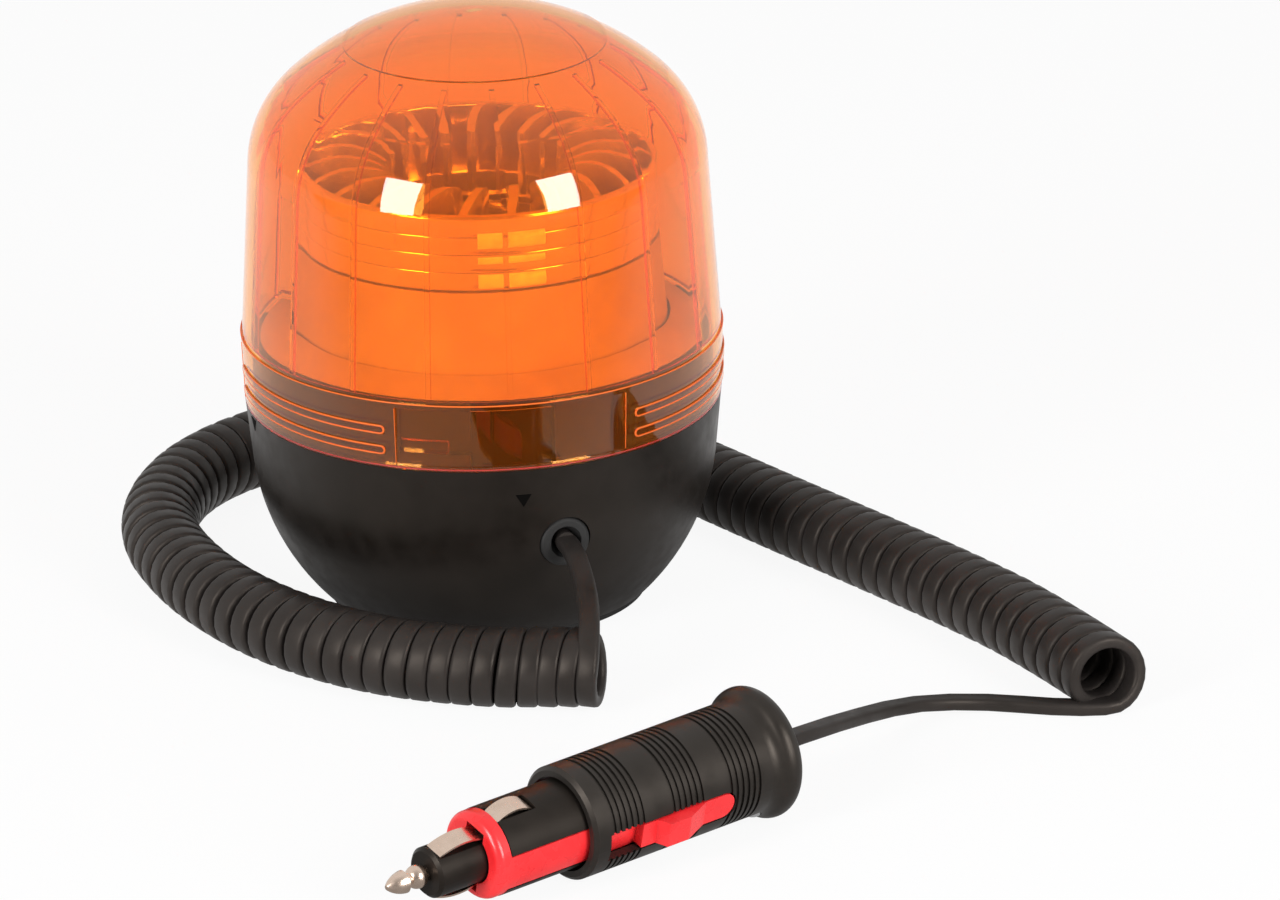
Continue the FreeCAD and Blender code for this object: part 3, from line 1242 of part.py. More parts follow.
os.makedirs("parts", exist_ok=True)
for piece in LAMP_PIECES:
    save(piece(), piece.__name__)
for piece in PLUG_PIECES:
    plug_piece = piece()
    plug_piece.Placement = plug_placement().multiply(plug_piece.Placement)
    save(plug_piece, piece.__name__)
for name, side in (("plug_upper_shell", 1), ("plug_lower_shell", -1)):
    shell_half = handle_half(side)
    shell_half.Placement = plug_placement().multiply(shell_half.Placement)
    save(shell_half, name)
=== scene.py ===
# %% [markdown]
# A rotating amber beacon for a vehicle roof, dressed for the camera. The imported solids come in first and
# stay where they are. Everything made here is in metres, in the same frame: the origin is on the ground on
# the lamp's axis, +Z is up and the cord leaves the bowl towards -Y.

# %% Load the frame
import bpy
import json
import math
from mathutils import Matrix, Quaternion, Vector


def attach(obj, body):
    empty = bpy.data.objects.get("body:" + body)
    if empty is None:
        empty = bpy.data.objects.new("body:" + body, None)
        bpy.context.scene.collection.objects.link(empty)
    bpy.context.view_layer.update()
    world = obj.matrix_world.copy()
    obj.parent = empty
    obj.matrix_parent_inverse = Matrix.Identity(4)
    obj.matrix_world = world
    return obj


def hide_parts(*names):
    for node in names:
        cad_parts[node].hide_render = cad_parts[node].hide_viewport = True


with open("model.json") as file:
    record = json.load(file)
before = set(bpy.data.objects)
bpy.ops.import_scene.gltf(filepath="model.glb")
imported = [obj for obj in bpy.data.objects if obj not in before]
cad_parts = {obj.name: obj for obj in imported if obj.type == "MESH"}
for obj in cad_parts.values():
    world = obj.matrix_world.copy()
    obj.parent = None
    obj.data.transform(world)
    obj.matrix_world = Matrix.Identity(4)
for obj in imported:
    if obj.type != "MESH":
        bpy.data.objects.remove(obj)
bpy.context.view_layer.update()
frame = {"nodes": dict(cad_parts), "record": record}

MM = 0.001
UP = Vector((0.0, 0.0, 1.0))
scene = bpy.context.scene
nodes = frame["nodes"]

# %% [markdown]
# The photograph was taken with a long lens from a little above. A camera far away with a narrow angle gives
# the same flat perspective. It stands in front of the lamp, a little to the left of the cord's side, and
# looks at the picture's own middle, a point on the ground behind the lamp and to its right. Light crosses the
# amber wall many times on its way to the camera, so more bounces are allowed than usual.

# %% Camera
LAMP_MIDDLE = Vector((0.0, 0.0, 0.050))
CAMERA_AZIMUTH = math.radians(-19.7)
CAMERA_ELEVATION = math.radians(20.34)
CAMERA_DISTANCE = 2.6
CAMERA_AIM = Vector((0.0660, 0.0694, 0.0))
CAMERA_ROLL = math.radians(-1.12)
CAMERA_LENS = 303.8
SENSOR_WIDTH = 36.0
SIGHT_LIMIT = 30.0
VIEW_AXIS = (0.0, 0.0, 1.0)
LIGHT_BOUNCES = 32


def towards(azimuth, elevation=0.0):
    """Unit vector from the lamp, with the azimuth counted from -Y towards +X."""
    level = math.cos(elevation)
    return Vector((math.sin(azimuth) * level, -math.cos(azimuth) * level, math.sin(elevation)))


view = bpy.data.cameras.new("photo_view")
view.lens = CAMERA_LENS
view.sensor_width = SENSOR_WIDTH
view.sensor_fit = "HORIZONTAL"
view.clip_end = SIGHT_LIMIT
camera = bpy.data.objects.new("photo_camera", view)
camera.location = LAMP_MIDDLE + towards(CAMERA_AZIMUTH, CAMERA_ELEVATION) * CAMERA_DISTANCE
look = (CAMERA_AIM - camera.location).to_track_quat("-Z", "Y")
camera.rotation_mode = "QUATERNION"
camera.rotation_quaternion = look @ Quaternion(VIEW_AXIS, CAMERA_ROLL)
scene.collection.objects.link(camera)
scene.camera = camera
scene.view_settings.view_transform = "Standard"
scene.cycles.max_bounces = LIGHT_BOUNCES
scene.cycles.glossy_bounces = LIGHT_BOUNCES
scene.cycles.transmission_bounces = LIGHT_BOUNCES
print("camera at", [round(c, 3) for c in camera.location])

# %% [markdown]
# Finishes and shapes are both made with trees of nodes below, and building a tree in code repeats the same
# three moves: add a node, choose its settings, feed its inputs. One helper does all three and hands back an
# output, which can feed the next node.

# %% Node helper
def add_node(tree, kind, feeds, output=0, **settings):
    """Output of a new node. Each feed goes to an input by name or number: a link or a plain value."""
    node = tree.nodes.new(kind)
    for setting, value in settings.items():
        setattr(node, setting, value)
    for place, feed in feeds.items():
        if isinstance(feed, bpy.types.NodeSocket):
            tree.links.new(feed, node.inputs[place])
        else:
            node.inputs[place].default_value = feed
    return node.outputs[output]


print("node helper ready")

# %% [markdown]
# Some details repeat, or follow a line or a surface: the cord's strand, the bright edges on the dome's band,
# the flutes of the wheel. Each could be modelled by hand, but then a changed size means doing it again. So
# each is described once as a geometry node recipe with named inputs, run on a simple drawing made of points
# and edges, and kept as a plain mesh. A small class holds the tree, adds steps and runs it.

# %% Recipe helper
class Recipe:
    """A geometry node tree under construction, with named inputs and one result."""

    def __init__(self, name, **inputs):
        self.tree = bpy.data.node_groups.new(name, "GeometryNodeTree")
        sockets = self.tree.interface
        sockets.new_socket("Drawing", in_out="INPUT", socket_type="NodeSocketGeometry")
        sockets.new_socket("Piece", in_out="OUTPUT", socket_type="NodeSocketGeometry")
        self.values = {}
        for label, value in inputs.items():
            kind = "NodeSocketMaterial" if isinstance(value, bpy.types.Material) else "NodeSocketFloat"
            socket = sockets.new_socket(label, in_out="INPUT", socket_type=kind)
            self.values[socket.identifier] = value
        self.given = self.tree.nodes.new("NodeGroupInput").outputs
        self.result = self.tree.nodes.new("NodeGroupOutput").inputs["Piece"]

    def step(self, kind, feeds, output=0, **settings):
        """Output of the recipe's next node."""
        return add_node(self.tree, kind, feeds, output, **settings)

    def mark(self, label, kind="FLOAT_VECTOR"):
        """Value that the drawing carries on each of its points."""
        return self.step("GeometryNodeInputNamedAttribute", {"Name": label}, data_type=kind)

    def end(self, piece, smooth=True):
        """Last steps of every recipe: real geometry, smooth or flat shading and the finish."""
        solid = self.step("GeometryNodeRealizeInstances", {"Geometry": piece})
        shaded = self.step("GeometryNodeSetShadeSmooth", {"Geometry": solid, "Shade Smooth": smooth})
        dressed = self.step("GeometryNodeSetMaterial", {"Geometry": shaded, "Material": self.given["finish"]})
        self.tree.links.new(dressed, self.result)

    def run(self, name, sketch):
        """Plain mesh object that the recipe makes of a drawing."""
        piece = bpy.data.objects.new(name, sketch)
        scene.collection.objects.link(piece)
        modifier = piece.modifiers.new(name, "NODES")
        modifier.node_group = self.tree
        for identifier, value in self.values.items():
            modifier[identifier] = value
        ready = piece.evaluated_get(bpy.context.evaluated_depsgraph_get())
        made = bpy.data.meshes.new_from_object(ready)
        piece.modifiers.clear()
        piece.data = made
        made.name = name
        return piece


print("recipe helper ready")

# %% [markdown]
# A drawing is a mesh without faces. Its points can carry marks, which a recipe reads by name: a direction or
# a number for each point, such as how wide the strand is there.

# %% Drawing helper
def drawing(name, points, edges=(), **marks):
    """Mesh of points and edges. Each mark is one vector or number per point."""
    sketch = bpy.data.meshes.new(name)
    sketch.from_pydata(points, edges, [])
    for label, values in marks.items():
        vectors = isinstance(values[0], Vector)
        layer = sketch.attributes.new(label, "FLOAT_VECTOR" if vectors else "FLOAT", "POINT")
        flat = [c for value in values for c in value] if vectors else values
        layer.data.foreach_set("vector" if vectors else "value", flat)
    return sketch


def row_of_edges(first, count):
    """Edges that join this many points, one after the other."""
    return [(i, i + 1) for i in range(first, first + count - 1)]


print("drawing helper ready")

# %% [markdown]
# A curly cord is a flat strand that leaves the bowl, a close helix wound on a rod, and a flat strand again
# that lies on the ground up to the plug. The helix follows a middle line on the ground. A used cord is
# stretched unevenly, so each point of that line's route gives its place, in millimetres, and how far apart
# the turns lie there. The first two points are lifted a little, where the tail still carries the coil.

# %% Cord route
STRAND_WIDTH = 5.0 * MM
STRAND_THICKNESS = 3.1 * MM
STRAND_ROUND = 1.0 * MM
CURL = 19.0 * MM
GROUND_GAP = 0.1 * MM
CORD_EXIT = Vector((0.0, -55.42, 30.0)) * MM
TAIL_POINTS = ((0.0, -59.5, 30.0), (-0.7, -67.0, 27.2), (-2.6, -76.5, 23.9), (-6.0, -86.5, 22.2))
CURL_LIFTS = (1.3, 0.3)
CURL_ROUTE = (
    (-4.8, -88.2, 5.15), (-13.5, -81.5, 5.1), (-27.5, -75.5, 4.9), (-50.0, -57.0, 4.95), (-66.5, -27.0, 6.1),
    (-73.2, 8.5, 6.4), (-70.7, 45.5, 6.1), (-49.8, 76.3, 5.9), (-16.2, 91.5, 5.8), (20.4, 87.0, 5.7),
    (49.2, 64.2, 5.6), (61.9, 29.7, 5.5), (72.0, -4.5, 5.35), (82.6, -38.5, 5.65), (92.9, -72.3, 5.8),
    (100.8, -104.5, 6.5), (104.3, -137.6, 5.6),
)
LEAD_POINTS = ((92.0, -133.6, 1.9), (79.5, -124.2, 1.9), (61.0, -123.6, 4.4), (43.0, -135.6, 8.6))
PLUG_REAR = Vector((8.2, -161.8, 15.914)) * MM
PLUG_AXIS = Vector((-0.952187, -0.302966, -0.039396)).normalized()
LEAD_ENDS = (-12.0 * MM, 6.0 * MM)
curl_height = CURL / 2 + GROUND_GAP
curl_points = [Vector((x * MM, y * MM, curl_height)) for x, y, pitch in CURL_ROUTE]
for point, lift in zip(curl_points, CURL_LIFTS):
    point.z += lift * MM
print("cord route:", len(TAIL_POINTS), "tail,", len(curl_points), "curl and", len(LEAD_POINTS), "lead points")

# %% [markdown]
# Points joined by straight runs would look like bent wire. A NURBS curve with the same points as its controls
# is smooth everywhere. Blender draws it, and the drawn curve is read back as a fine row of points. A number
# that changes along the route, such as the spacing of the turns, is smoothed in the same way.

# %% Middle line of the curl
SPLINE_ORDER = 3
CURL_FINENESS = 32


def smooth_line(name, points, fineness):
    """Points along the smooth NURBS line with these control points, as Blender draws it."""
    curve = bpy.data.curves.new(name, "CURVE")
    curve.dimensions = "3D"
    spline = curve.splines.new("NURBS")
    spline.points.add(len(points) - 1)
    for place, point in zip(spline.points, points):
        place.co = (*point, 1.0)
    # Set before the points are added, these two would leave straight runs.
    spline.order_u = SPLINE_ORDER
    spline.use_endpoint_u = True
    curve.resolution_u = fineness
    guide = bpy.data.objects.new(name, curve)
    scene.collection.objects.link(guide)
    mesh = bpy.data.meshes.new_from_object(guide.evaluated_get(bpy.context.evaluated_depsgraph_get()))
    found = [v.co.copy() for v in mesh.vertices]
    bpy.data.objects.remove(guide)
    bpy.data.curves.remove(curve)
    bpy.data.meshes.remove(mesh)
    return found


def smooth_numbers(name, numbers, fineness):
    """Numbers that run along with the smooth line whose control points carry these numbers."""
    return [v.x for v in smooth_line(name, [Vector((number, 0.0, 0.0)) for number in numbers], fineness)]


curl_line = smooth_line("curl_line", curl_points, CURL_FINENESS)
curl_pitch = smooth_numbers("curl_pitch", [pitch * MM for x, y, pitch in CURL_ROUTE], CURL_FINENESS)
curl_reach = [0.0]
for a, b in zip(curl_line, curl_line[1:]):
    curl_reach.append(curl_reach[-1] + (b - a).length)
print("curl line:", len(curl_line), "points,", round(curl_reach[-1], 4), "m")

# %% [markdown]
# The helix is wound by walking along the middle line. Two questions come up at every step: where is the line
# at this distance, and how does it bend there? On the inside of a bend the turns are pressed together, and on
# the outside they gape.

# %% Walk along the curl
BEND_SPAN = 12.0 * MM


def line_at(reach):
    """Place, heading and turn spacing on the curl's line at a distance from its start."""
    reach = min(max(reach, 0.0), curl_reach[-1])
    low, high = 0, len(curl_reach) - 1
    while high - low > 1:
        half = (low + high) // 2
        low, high = (half, high) if curl_reach[half] <= reach else (low, half)
    run = curl_line[high] - curl_line[low]
    share = (reach - curl_reach[low]) / (curl_reach[high] - curl_reach[low])
    return curl_line[low] + run * share, run.normalized(), curl_pitch[low]


def bend_at(reach):
    """Curvature of the line as a vector towards the inside of the bend."""
    before, after = line_at(reach - BEND_SPAN)[1], line_at(reach + BEND_SPAN)[1]
    return (after - before) / (2 * BEND_SPAN)


print("curl bends by up to", round(max(bend_at(reach).length for reach in curl_reach), 1), "per metre")

# %% [markdown]
# One loop counts the turns that fit on the line, and the next one winds them, with twelve control points to a
# turn. The first turn starts near its top, where the tail comes in, and the last one ends on the ground,
# where the lead leaves it. The spacing is stretched by a hair to make that fit. Each point also keeps the
# strand's thin direction and how far the strand is squeezed between its neighbours.

# %% Wind the helix
TURN_POINTS = 12
TURN_GAP = 0.12 * MM
WIDEST = 1.08
COUNT_STEP = 0.5 * MM
FIRST_STEP = 2
LAST_STEP = TURN_POINTS // 2
STRAND_FINENESS = 2
helix_radius = (CURL - STRAND_THICKNESS) / 2
# A NURBS line of order 3 runs inside the polygon of its controls and reaches this share of its radius.
polygon_share = (3 + math.cos(2 * math.pi / TURN_POINTS)) / 4
turns = 0.0
reach = 0.0
while reach < curl_reach[-1]:
    turns += COUNT_STEP / line_at(reach)[2]
    reach += COUNT_STEP
steps = math.floor(turns - 1) * TURN_POINTS + LAST_STEP
stretch = turns * TURN_POINTS / (steps - FIRST_STEP)
controls = [CORD_EXIT] + [Vector(p) * MM for p in TAIL_POINTS]
thins = [UP] * len(controls)
squeezes = [1.0] * len(controls)
reach = 0.0
for i in range(FIRST_STEP, steps + 1):
    middle, heading, pitch = line_at(reach)
    outside = UP.cross(heading)
    angle = 2 * math.pi * i / TURN_POINTS
    spoke = UP * math.cos(angle) + outside * math.sin(angle)
    pitch *= stretch
    room = pitch * (1.0 - helix_radius * spoke.dot(bend_at(reach))) - TURN_GAP
    controls.append(middle + spoke * (helix_radius / polygon_share))
    thins.append(spoke)
    squeezes.append(min(WIDEST, room / STRAND_WIDTH))
    reach += pitch / TURN_POINTS
lead = [Vector(p) * MM for p in LEAD_POINTS] + [PLUG_REAR + PLUG_AXIS * end for end in LEAD_ENDS]
controls += lead
thins += [-UP] * len(lead)
squeezes += [1.0] * len(lead)
strand_line = smooth_line("strand_line", controls, STRAND_FINENESS)
strand_thin = smooth_line("strand_thin", thins, STRAND_FINENESS)
strand_squeeze = smooth_numbers("strand_squeeze", squeezes, STRAND_FINENESS)
print("strand:", round(turns / stretch, 2), "turns,", len(strand_line), "points, stretch", round(stretch, 4))

# %% [markdown]
# The strand itself is a rounded flat section swept along that line. A bevelled curve could sweep it too, but
# it would choose its own twist. So a recipe does it: the line becomes a curve, its normal is set to the thin
# direction that each point carries, and the section follows it. Then every ring is squeezed across, where
# the turns are pressed together.

# %% Strand recipe
STRAND_CORNER_STEPS = 3


def strand_recipe(finish):
    """Recipe that sweeps the flat section along a drawn line."""
    made = Recipe("flat_strand", width=STRAND_WIDTH, thickness=STRAND_THICKNESS, rounding=STRAND_ROUND,
                  finish=finish)
    line = made.step("GeometryNodeMeshToCurve", {"Mesh": made.given["Drawing"]})
    line = made.step("GeometryNodeSetCurveNormal", {"Curve": line, "Normal": made.mark("thin")}, mode="FREE")
    section = made.step("GeometryNodeCurvePrimitiveQuadrilateral",
                        {"Width": made.given["thickness"], "Height": made.given["width"]})
    section = made.step("GeometryNodeFilletCurve", {
        "Curve": section, "Radius": made.given["rounding"], "Count": STRAND_CORNER_STEPS}, mode="POLY")
    tube = made.step("GeometryNodeCurveToMesh", {"Curve": line, "Profile Curve": section, "Fill Caps": True})
    here = made.step("GeometryNodeInputPosition", {})
    across = made.mark("across")
    spoke = made.step("ShaderNodeVectorMath", {0: here, 1: made.mark("centre")}, operation="SUBTRACT")
    aside = made.step("ShaderNodeVectorMath", {0: spoke, 1: across}, "Value", operation="DOT_PRODUCT")
    less = made.step("ShaderNodeMath", {0: made.mark("squeeze", "FLOAT"), 1: 1.0}, operation="SUBTRACT")
    shift = made.step("ShaderNodeMath", {0: aside, 1: less}, operation="MULTIPLY")
    offset = made.step("ShaderNodeVectorMath", {0: across, "Scale": shift}, operation="SCALE")
    made.end(made.step("GeometryNodeSetPosition", {"Geometry": tube, "Offset": offset}))
    return made


ahead = [(b - a).normalized() for a, b in zip(strand_line, strand_line[1:])]
ahead.append(ahead[-1])
strand_thin = [(thin - way * thin.dot(way)).normalized() for thin, way in zip(strand_thin, ahead)]
strand_across = [way.cross(thin).normalized() for thin, way in zip(strand_thin, ahead)]
strand_drawing = drawing("strand_drawing", strand_line, row_of_edges(0, len(strand_line)), thin=strand_thin,
                         across=strand_across, centre=strand_line, squeeze=strand_squeeze)
print("strand length", round(sum((b - a).length for a, b in zip(strand_line, strand_line[1:])), 3), "m")

# %% [markdown]
# The stage has to do two things at once: light the object at a plain level, and look white. Cycles tells a
# shader what kind of ray has reached it, so rays that look at the stage can find it white, straight, in a
# reflection or through the dome, while rays that only carry light find a plain surface. Fades are written as
# four numbers: where they start and end, and the levels there.

# %% Light helpers
LOOKING_RAYS = ("Is Camera Ray", "Is Glossy Ray", "Is Transmission Ray")


def ramp(tree, value, start, end, low, high):
    """Number that runs from low to high while the value runs from start to end."""
    return add_node(tree, "ShaderNodeMapRange", {
        "Value": value, "From Min": start, "From Max": end, "To Min": low, "To Max": high})


def seen_as(tree, otherwise, *kinds):
    """1 for rays of these kinds, and for others the value given."""
    rays = tree.nodes.new("ShaderNodeLightPath").outputs
    total = otherwise
    for kind in kinds:
        total = add_node(tree, "ShaderNodeMath", {0: total, 1: rays[kind]}, operation="MAXIMUM")
    return total


def emptied(owner):
    """Node tree of a new material or world, with nothing in it."""
    owner.use_nodes = True
    owner.node_tree.nodes.clear()
    return owner.node_tree


print("rays that look:", len(LOOKING_RAYS), "kinds")

# %% [markdown]
# The floor is plain and pale. The camera sees it as white, but it still takes a soft shadow: a matt surface
# is mixed with an even glow, for the rays that look at it. In reflections the glow fades towards the camera,
# and close to the lamp, where its own shadow lies, it is darkened as a painted shadow, so that dark plastic
# keeps its depth.

# %% Floor
FLOOR_SIZE = 12.0
FLOOR_TONE = (0.92, 0.92, 0.92, 1.0)
FLOOR_GLOW = 0.92
FLOOR_FADE = (0.05, 0.20, 1.0, 0.3)
# Painted shadow: the floor's glow in reflections darkens close to the lamp.
FLOOR_SHADE = (0.045, 0.09, 0.25, 1.0)
half = FLOOR_SIZE / 2
floor_mesh = bpy.data.meshes.new("floor")
floor_mesh.from_pydata([(-half, -half, 0), (half, -half, 0), (half, half, 0), (-half, half, 0)], [],
                       [(0, 1, 2, 3)])
floor = bpy.data.objects.new("floor", floor_mesh)
scene.collection.objects.link(floor)
paper = bpy.data.materials.new("white_paper")
tree = emptied(paper)
place = tree.nodes.new("ShaderNodeTexCoord").outputs["Object"]
forwards = add_node(tree, "ShaderNodeVectorMath", {0: place, 1: towards(CAMERA_AZIMUTH)}, "Value",
                    operation="DOT_PRODUCT")
apart = add_node(tree, "ShaderNodeVectorMath", {0: place}, "Value", operation="LENGTH")
dimmed = add_node(tree, "ShaderNodeMath", {
    0: ramp(tree, forwards, *FLOOR_FADE), 1: ramp(tree, apart, *FLOOR_SHADE)}, operation="MULTIPLY")
bright = seen_as(tree, dimmed, "Is Camera Ray", "Is Transmission Ray")
glow = add_node(tree, "ShaderNodeEmission", {"Strength": bright})
matt = add_node(tree, "ShaderNodeBsdfDiffuse", {"Color": FLOOR_TONE})
looked_at = seen_as(tree, 0.0, *LOOKING_RAYS)
share = add_node(tree, "ShaderNodeMath", {0: looked_at, 1: FLOOR_GLOW}, operation="MULTIPLY")
both = add_node(tree, "ShaderNodeMixShader", {0: share, 1: matt, 2: glow})
tree.links.new(both, tree.nodes.new("ShaderNodeOutputMaterial").inputs["Surface"])
floor_mesh.materials.append(paper)
print("floor:", FLOOR_SIZE, "m wide")

# %% [markdown]
# The room is a world shader with two walls of light. One lights the object. The other is what shows in
# reflections and through the dome, white behind the object and dimmer behind the camera. Two soft boxes stand
# in front of the lamp, left and right, and leave their square reflections on the dome.

# %% Room and soft boxes
ROOM_LIGHT = (-0.6, 0.9, 0.22, 0.75)
ROOM_SEEN = (-0.95, 0.10, 0.30, 1.0)
BOX_DISTANCE = 1.5
BOX_SIZE = (0.47, 0.84)
BOX_RADIANCE = 14.5
BOX_PLACES = ((-60.0, 18.0), (22.0, 18.0))
room = bpy.data.worlds.new("studio")
tree = emptied(room)
way = tree.nodes.new("ShaderNodeTexCoord").outputs["Generated"]
backwards = add_node(tree, "ShaderNodeVectorMath", {0: way, 1: -towards(CAMERA_AZIMUTH)}, "Value",
                     operation="DOT_PRODUCT")
light_wall = add_node(tree, "ShaderNodeBackground", {"Strength": ramp(tree, backwards, *ROOM_LIGHT)})
seen_wall = add_node(tree, "ShaderNodeBackground", {"Strength": ramp(tree, backwards, *ROOM_SEEN)})
looked_at = seen_as(tree, 0.0, *LOOKING_RAYS)
both = add_node(tree, "ShaderNodeMixShader", {0: looked_at, 1: light_wall, 2: seen_wall})
tree.links.new(both, tree.nodes.new("ShaderNodeOutputWorld").inputs["Surface"])
scene.world = room
for number, (azimuth, elevation) in enumerate(BOX_PLACES):
    box = bpy.data.lights.new(f"soft_box_{number}", "AREA")
    box.shape = "RECTANGLE"
    box.size, box.size_y = BOX_SIZE
    box.energy = BOX_RADIANCE * math.pi * BOX_SIZE[0] * BOX_SIZE[1]
    stand = bpy.data.objects.new(f"soft_box_{number}", box)
    facing = towards(math.radians(azimuth), math.radians(elevation))
    stand.location = LAMP_MIDDLE + facing * BOX_DISTANCE
    stand.rotation_euler = facing.to_track_quat("Z", "Y").to_euler()
    scene.collection.objects.link(stand)
print("light: room and", len(BOX_PLACES), "soft boxes")

# %% [markdown]
# Finishes come next. A moulded part is never one flat colour: its tone drifts a little, its gloss varies
# where it was handled, and a fine grain from the mould breaks up reflections. A photograph as texture would
# need unwrapped surfaces, while noise in the piece's own coordinates fits any shape. One class holds a
# finish's shader, and small methods add drift, gloss and grain.

# %% Finish helper
CLOUD_RANGE = (0.3, 0.7)
GRAIN_DETAIL = 2.0
CLEAR = (1.0, 1.0, 1.0)
finishes = {}


class Finish:
    """A material under construction, with its tree, main shader and the piece's own coordinates."""

    def __init__(self, name, **sockets):
        self.material = bpy.data.materials.new(name)
        self.material.use_nodes = True
        self.tree = self.material.node_tree
        self.shader = self.tree.nodes["Principled BSDF"]
        self.place = self.tree.nodes.new("ShaderNodeTexCoord").outputs["Object"]
        # The keyword specular_ior_level stands for the socket Specular IOR Level.
        for socket, value in sockets.items():
            self.shader.inputs[socket.replace("_", " ").title().replace("Ior", "IOR")].default_value = value
        finishes[name] = self.material

    def cloud(self, size, detail=GRAIN_DETAIL):
        """Noise whose patches are about this size, in metres."""
        return add_node(self.tree, "ShaderNodeTexNoise", {
            "Vector": self.place, "Scale": 1.0 / size, "Detail": detail}, "Fac")

    def tone(self, value, low, high):
        """Colour that runs from low to high over the value's middle range."""
        blend = self.tree.nodes.new("ShaderNodeValToRGB")
        for stop, position, colour in zip(blend.color_ramp.elements, CLOUD_RANGE, (low, high)):
            stop.position = position
            stop.color = (*colour, 1.0)
        self.tree.links.new(value, blend.inputs["Fac"])
        self.tree.links.new(blend.outputs["Color"], self.shader.inputs["Base Color"])

    def gloss(self, value, low, high):
        """Roughness that runs from low to high over the value's middle range."""
        self.tree.links.new(ramp(self.tree, value, *CLOUD_RANGE, low, high), self.shader.inputs["Roughness"])

    def grain(self, value, depth):
        """Relief of this depth, in metres."""
        bump = add_node(self.tree, "ShaderNodeBump", {"Height": value, "Distance": depth, "Strength": 1.0})
        self.tree.links.new(bump, self.shader.inputs["Normal"])

    def let_light_through(self, tint=CLEAR):
        """No hard shadow behind a clear wall: the lamps shine through each of its surfaces, tinted."""
        shadow = self.tree.nodes.new("ShaderNodeLightPath").outputs["Is Shadow Ray"]
        clear = add_node(self.tree, "ShaderNodeBsdfTransparent", {"Color": (*tint, 1.0)})
        either = add_node(self.tree, "ShaderNodeMixShader", {0: shadow, 1: self.shader.outputs[0], 2: clear})
        self.tree.links.new(either, self.tree.nodes["Material Output"].inputs["Surface"])


print("finish helper ready")

# %% [markdown]
# Almost every finish here is one of two kinds. Moulded plastic and rubber have wide patches of drifting tone.
# Metal has closer ones, and no colour but that of its reflection.

# %% Moulded and metal finishes
DRIFT = 9 * MM
METAL_DRIFT = 3 * MM
DRIFT_DETAIL = 4.0
GLOSS_DETAIL = 3.0


def moulded(name, low, high, gloss, grain, drift=DRIFT, **sockets):
    """Plastic or rubber from a mould: drifting tone, uneven gloss, and a grain of this size and depth."""
    made = Finish(name, **sockets)
    grain_size, grain_depth = grain
    made.tone(made.cloud(drift, DRIFT_DETAIL), low, high)
    made.gloss(made.cloud(drift / 2, GLOSS_DETAIL), *gloss)
    made.grain(made.cloud(grain_size), grain_depth)


def metal(name, low, high, gloss, grain):
    """Bright metal with a slightly uneven polish."""
    moulded(name, low, high, gloss, grain, drift=METAL_DRIFT, metallic=1.0)


print("tone patches:", DRIFT, "m on plastic,", METAL_DRIFT, "m on metal")

# %% [markdown]
# Most of the outside is black, and no two blacks are alike. The bowl is the deepest, the plug's handle is a
# little paler, the cord's sheath is greyer and softer, and the rubber is matt. A tint on the shader's own
# reflection warms their gloss and leaves the plastic black. Red plastic and nickel are left for the plug.

# %% Finishes of the outside
WARM_GLOSS = (1.0, 0.86, 0.74, 1.0)
SATIN_GLOSS = (0.34, 0.46)
SATIN_GRAIN = (0.28 * MM, 0.006 * MM)
moulded("black_plastic", (0.0065, 0.0050, 0.0040), (0.0105, 0.0082, 0.0068), gloss=SATIN_GLOSS,
        grain=SATIN_GRAIN, specular_ior_level=0.25, specular_tint=WARM_GLOSS)
moulded("grip_plastic", (0.0125, 0.0108, 0.0095), (0.0175, 0.0152, 0.0136), gloss=SATIN_GLOSS,
        grain=SATIN_GRAIN, specular_ior_level=0.36, specular_tint=WARM_GLOSS)
moulded("black_rubber", (0.012, 0.012, 0.012), (0.020, 0.019, 0.018), gloss=(0.55, 0.72),
        grain=(0.35 * MM, 0.01 * MM), specular_ior_level=0.3)
moulded("cord_sheath", (0.016, 0.0135, 0.0125), (0.025, 0.0215, 0.0200), gloss=(0.40, 0.55),
        grain=(0.5 * MM, 0.006 * MM), specular_ior_level=0.27, specular_tint=WARM_GLOSS)
moulded("red_plastic", (0.74, 0.018, 0.022), (0.84, 0.030, 0.034), gloss=(0.22, 0.34),
        grain=(0.4 * MM, 0.004 * MM))
metal("nickel_contact", (0.74, 0.57, 0.46), (0.84, 0.66, 0.54), gloss=(0.20, 0.32),
      grain=(1.6 * MM, 0.001 * MM))
metal("bright_steel", (0.55, 0.55, 0.55), (0.68, 0.68, 0.69), gloss=(0.24, 0.40),
      grain=(0.5 * MM, 0.003 * MM))
print("outside:", ", ".join(finishes))

# %% [markdown]
# The dome is clear amber plastic, so it refracts what lies behind it. Light takes the base colour at each
# surface that it crosses. The lamps' own light would stop at the wall and leave the inside black, so it is
# let through. It crosses two surfaces, and the root of the amber at each gives the whole amber. The wall is
# never quite even: a slow ripple bends the reflections a little.

# %% Amber of the dome
AMBER = (1.0, 0.40, 0.055)
AMBER_DEEP = (1.0, 0.38, 0.05)
AMBER_PALE = (1.0, 0.42, 0.065)
AMBER_DRIFT = 30 * MM
RIPPLE_SIZE = 14 * MM
RIPPLE_DEPTH = 0.02 * MM
amber = Finish("amber_lens", transmission_weight=0.98, ior=1.58, roughness=0.015)
amber.tone(amber.cloud(AMBER_DRIFT, detail=1.0), AMBER_DEEP, AMBER_PALE)
amber.grain(amber.cloud(RIPPLE_SIZE, detail=0.5), RIPPLE_DEPTH)
amber_root = [math.sqrt(c) for c in AMBER]
amber.let_light_through(amber_root)
print("amber at each surface:", [round(c, 3) for c in amber_root])

# %% [markdown]
# Inside are pale plastics, a wheel with a mirror coat, plain metals, the bulb and the board. Only the cover
# and the wheel show through the dome, but a dome can be taken off, so all of them are finished.

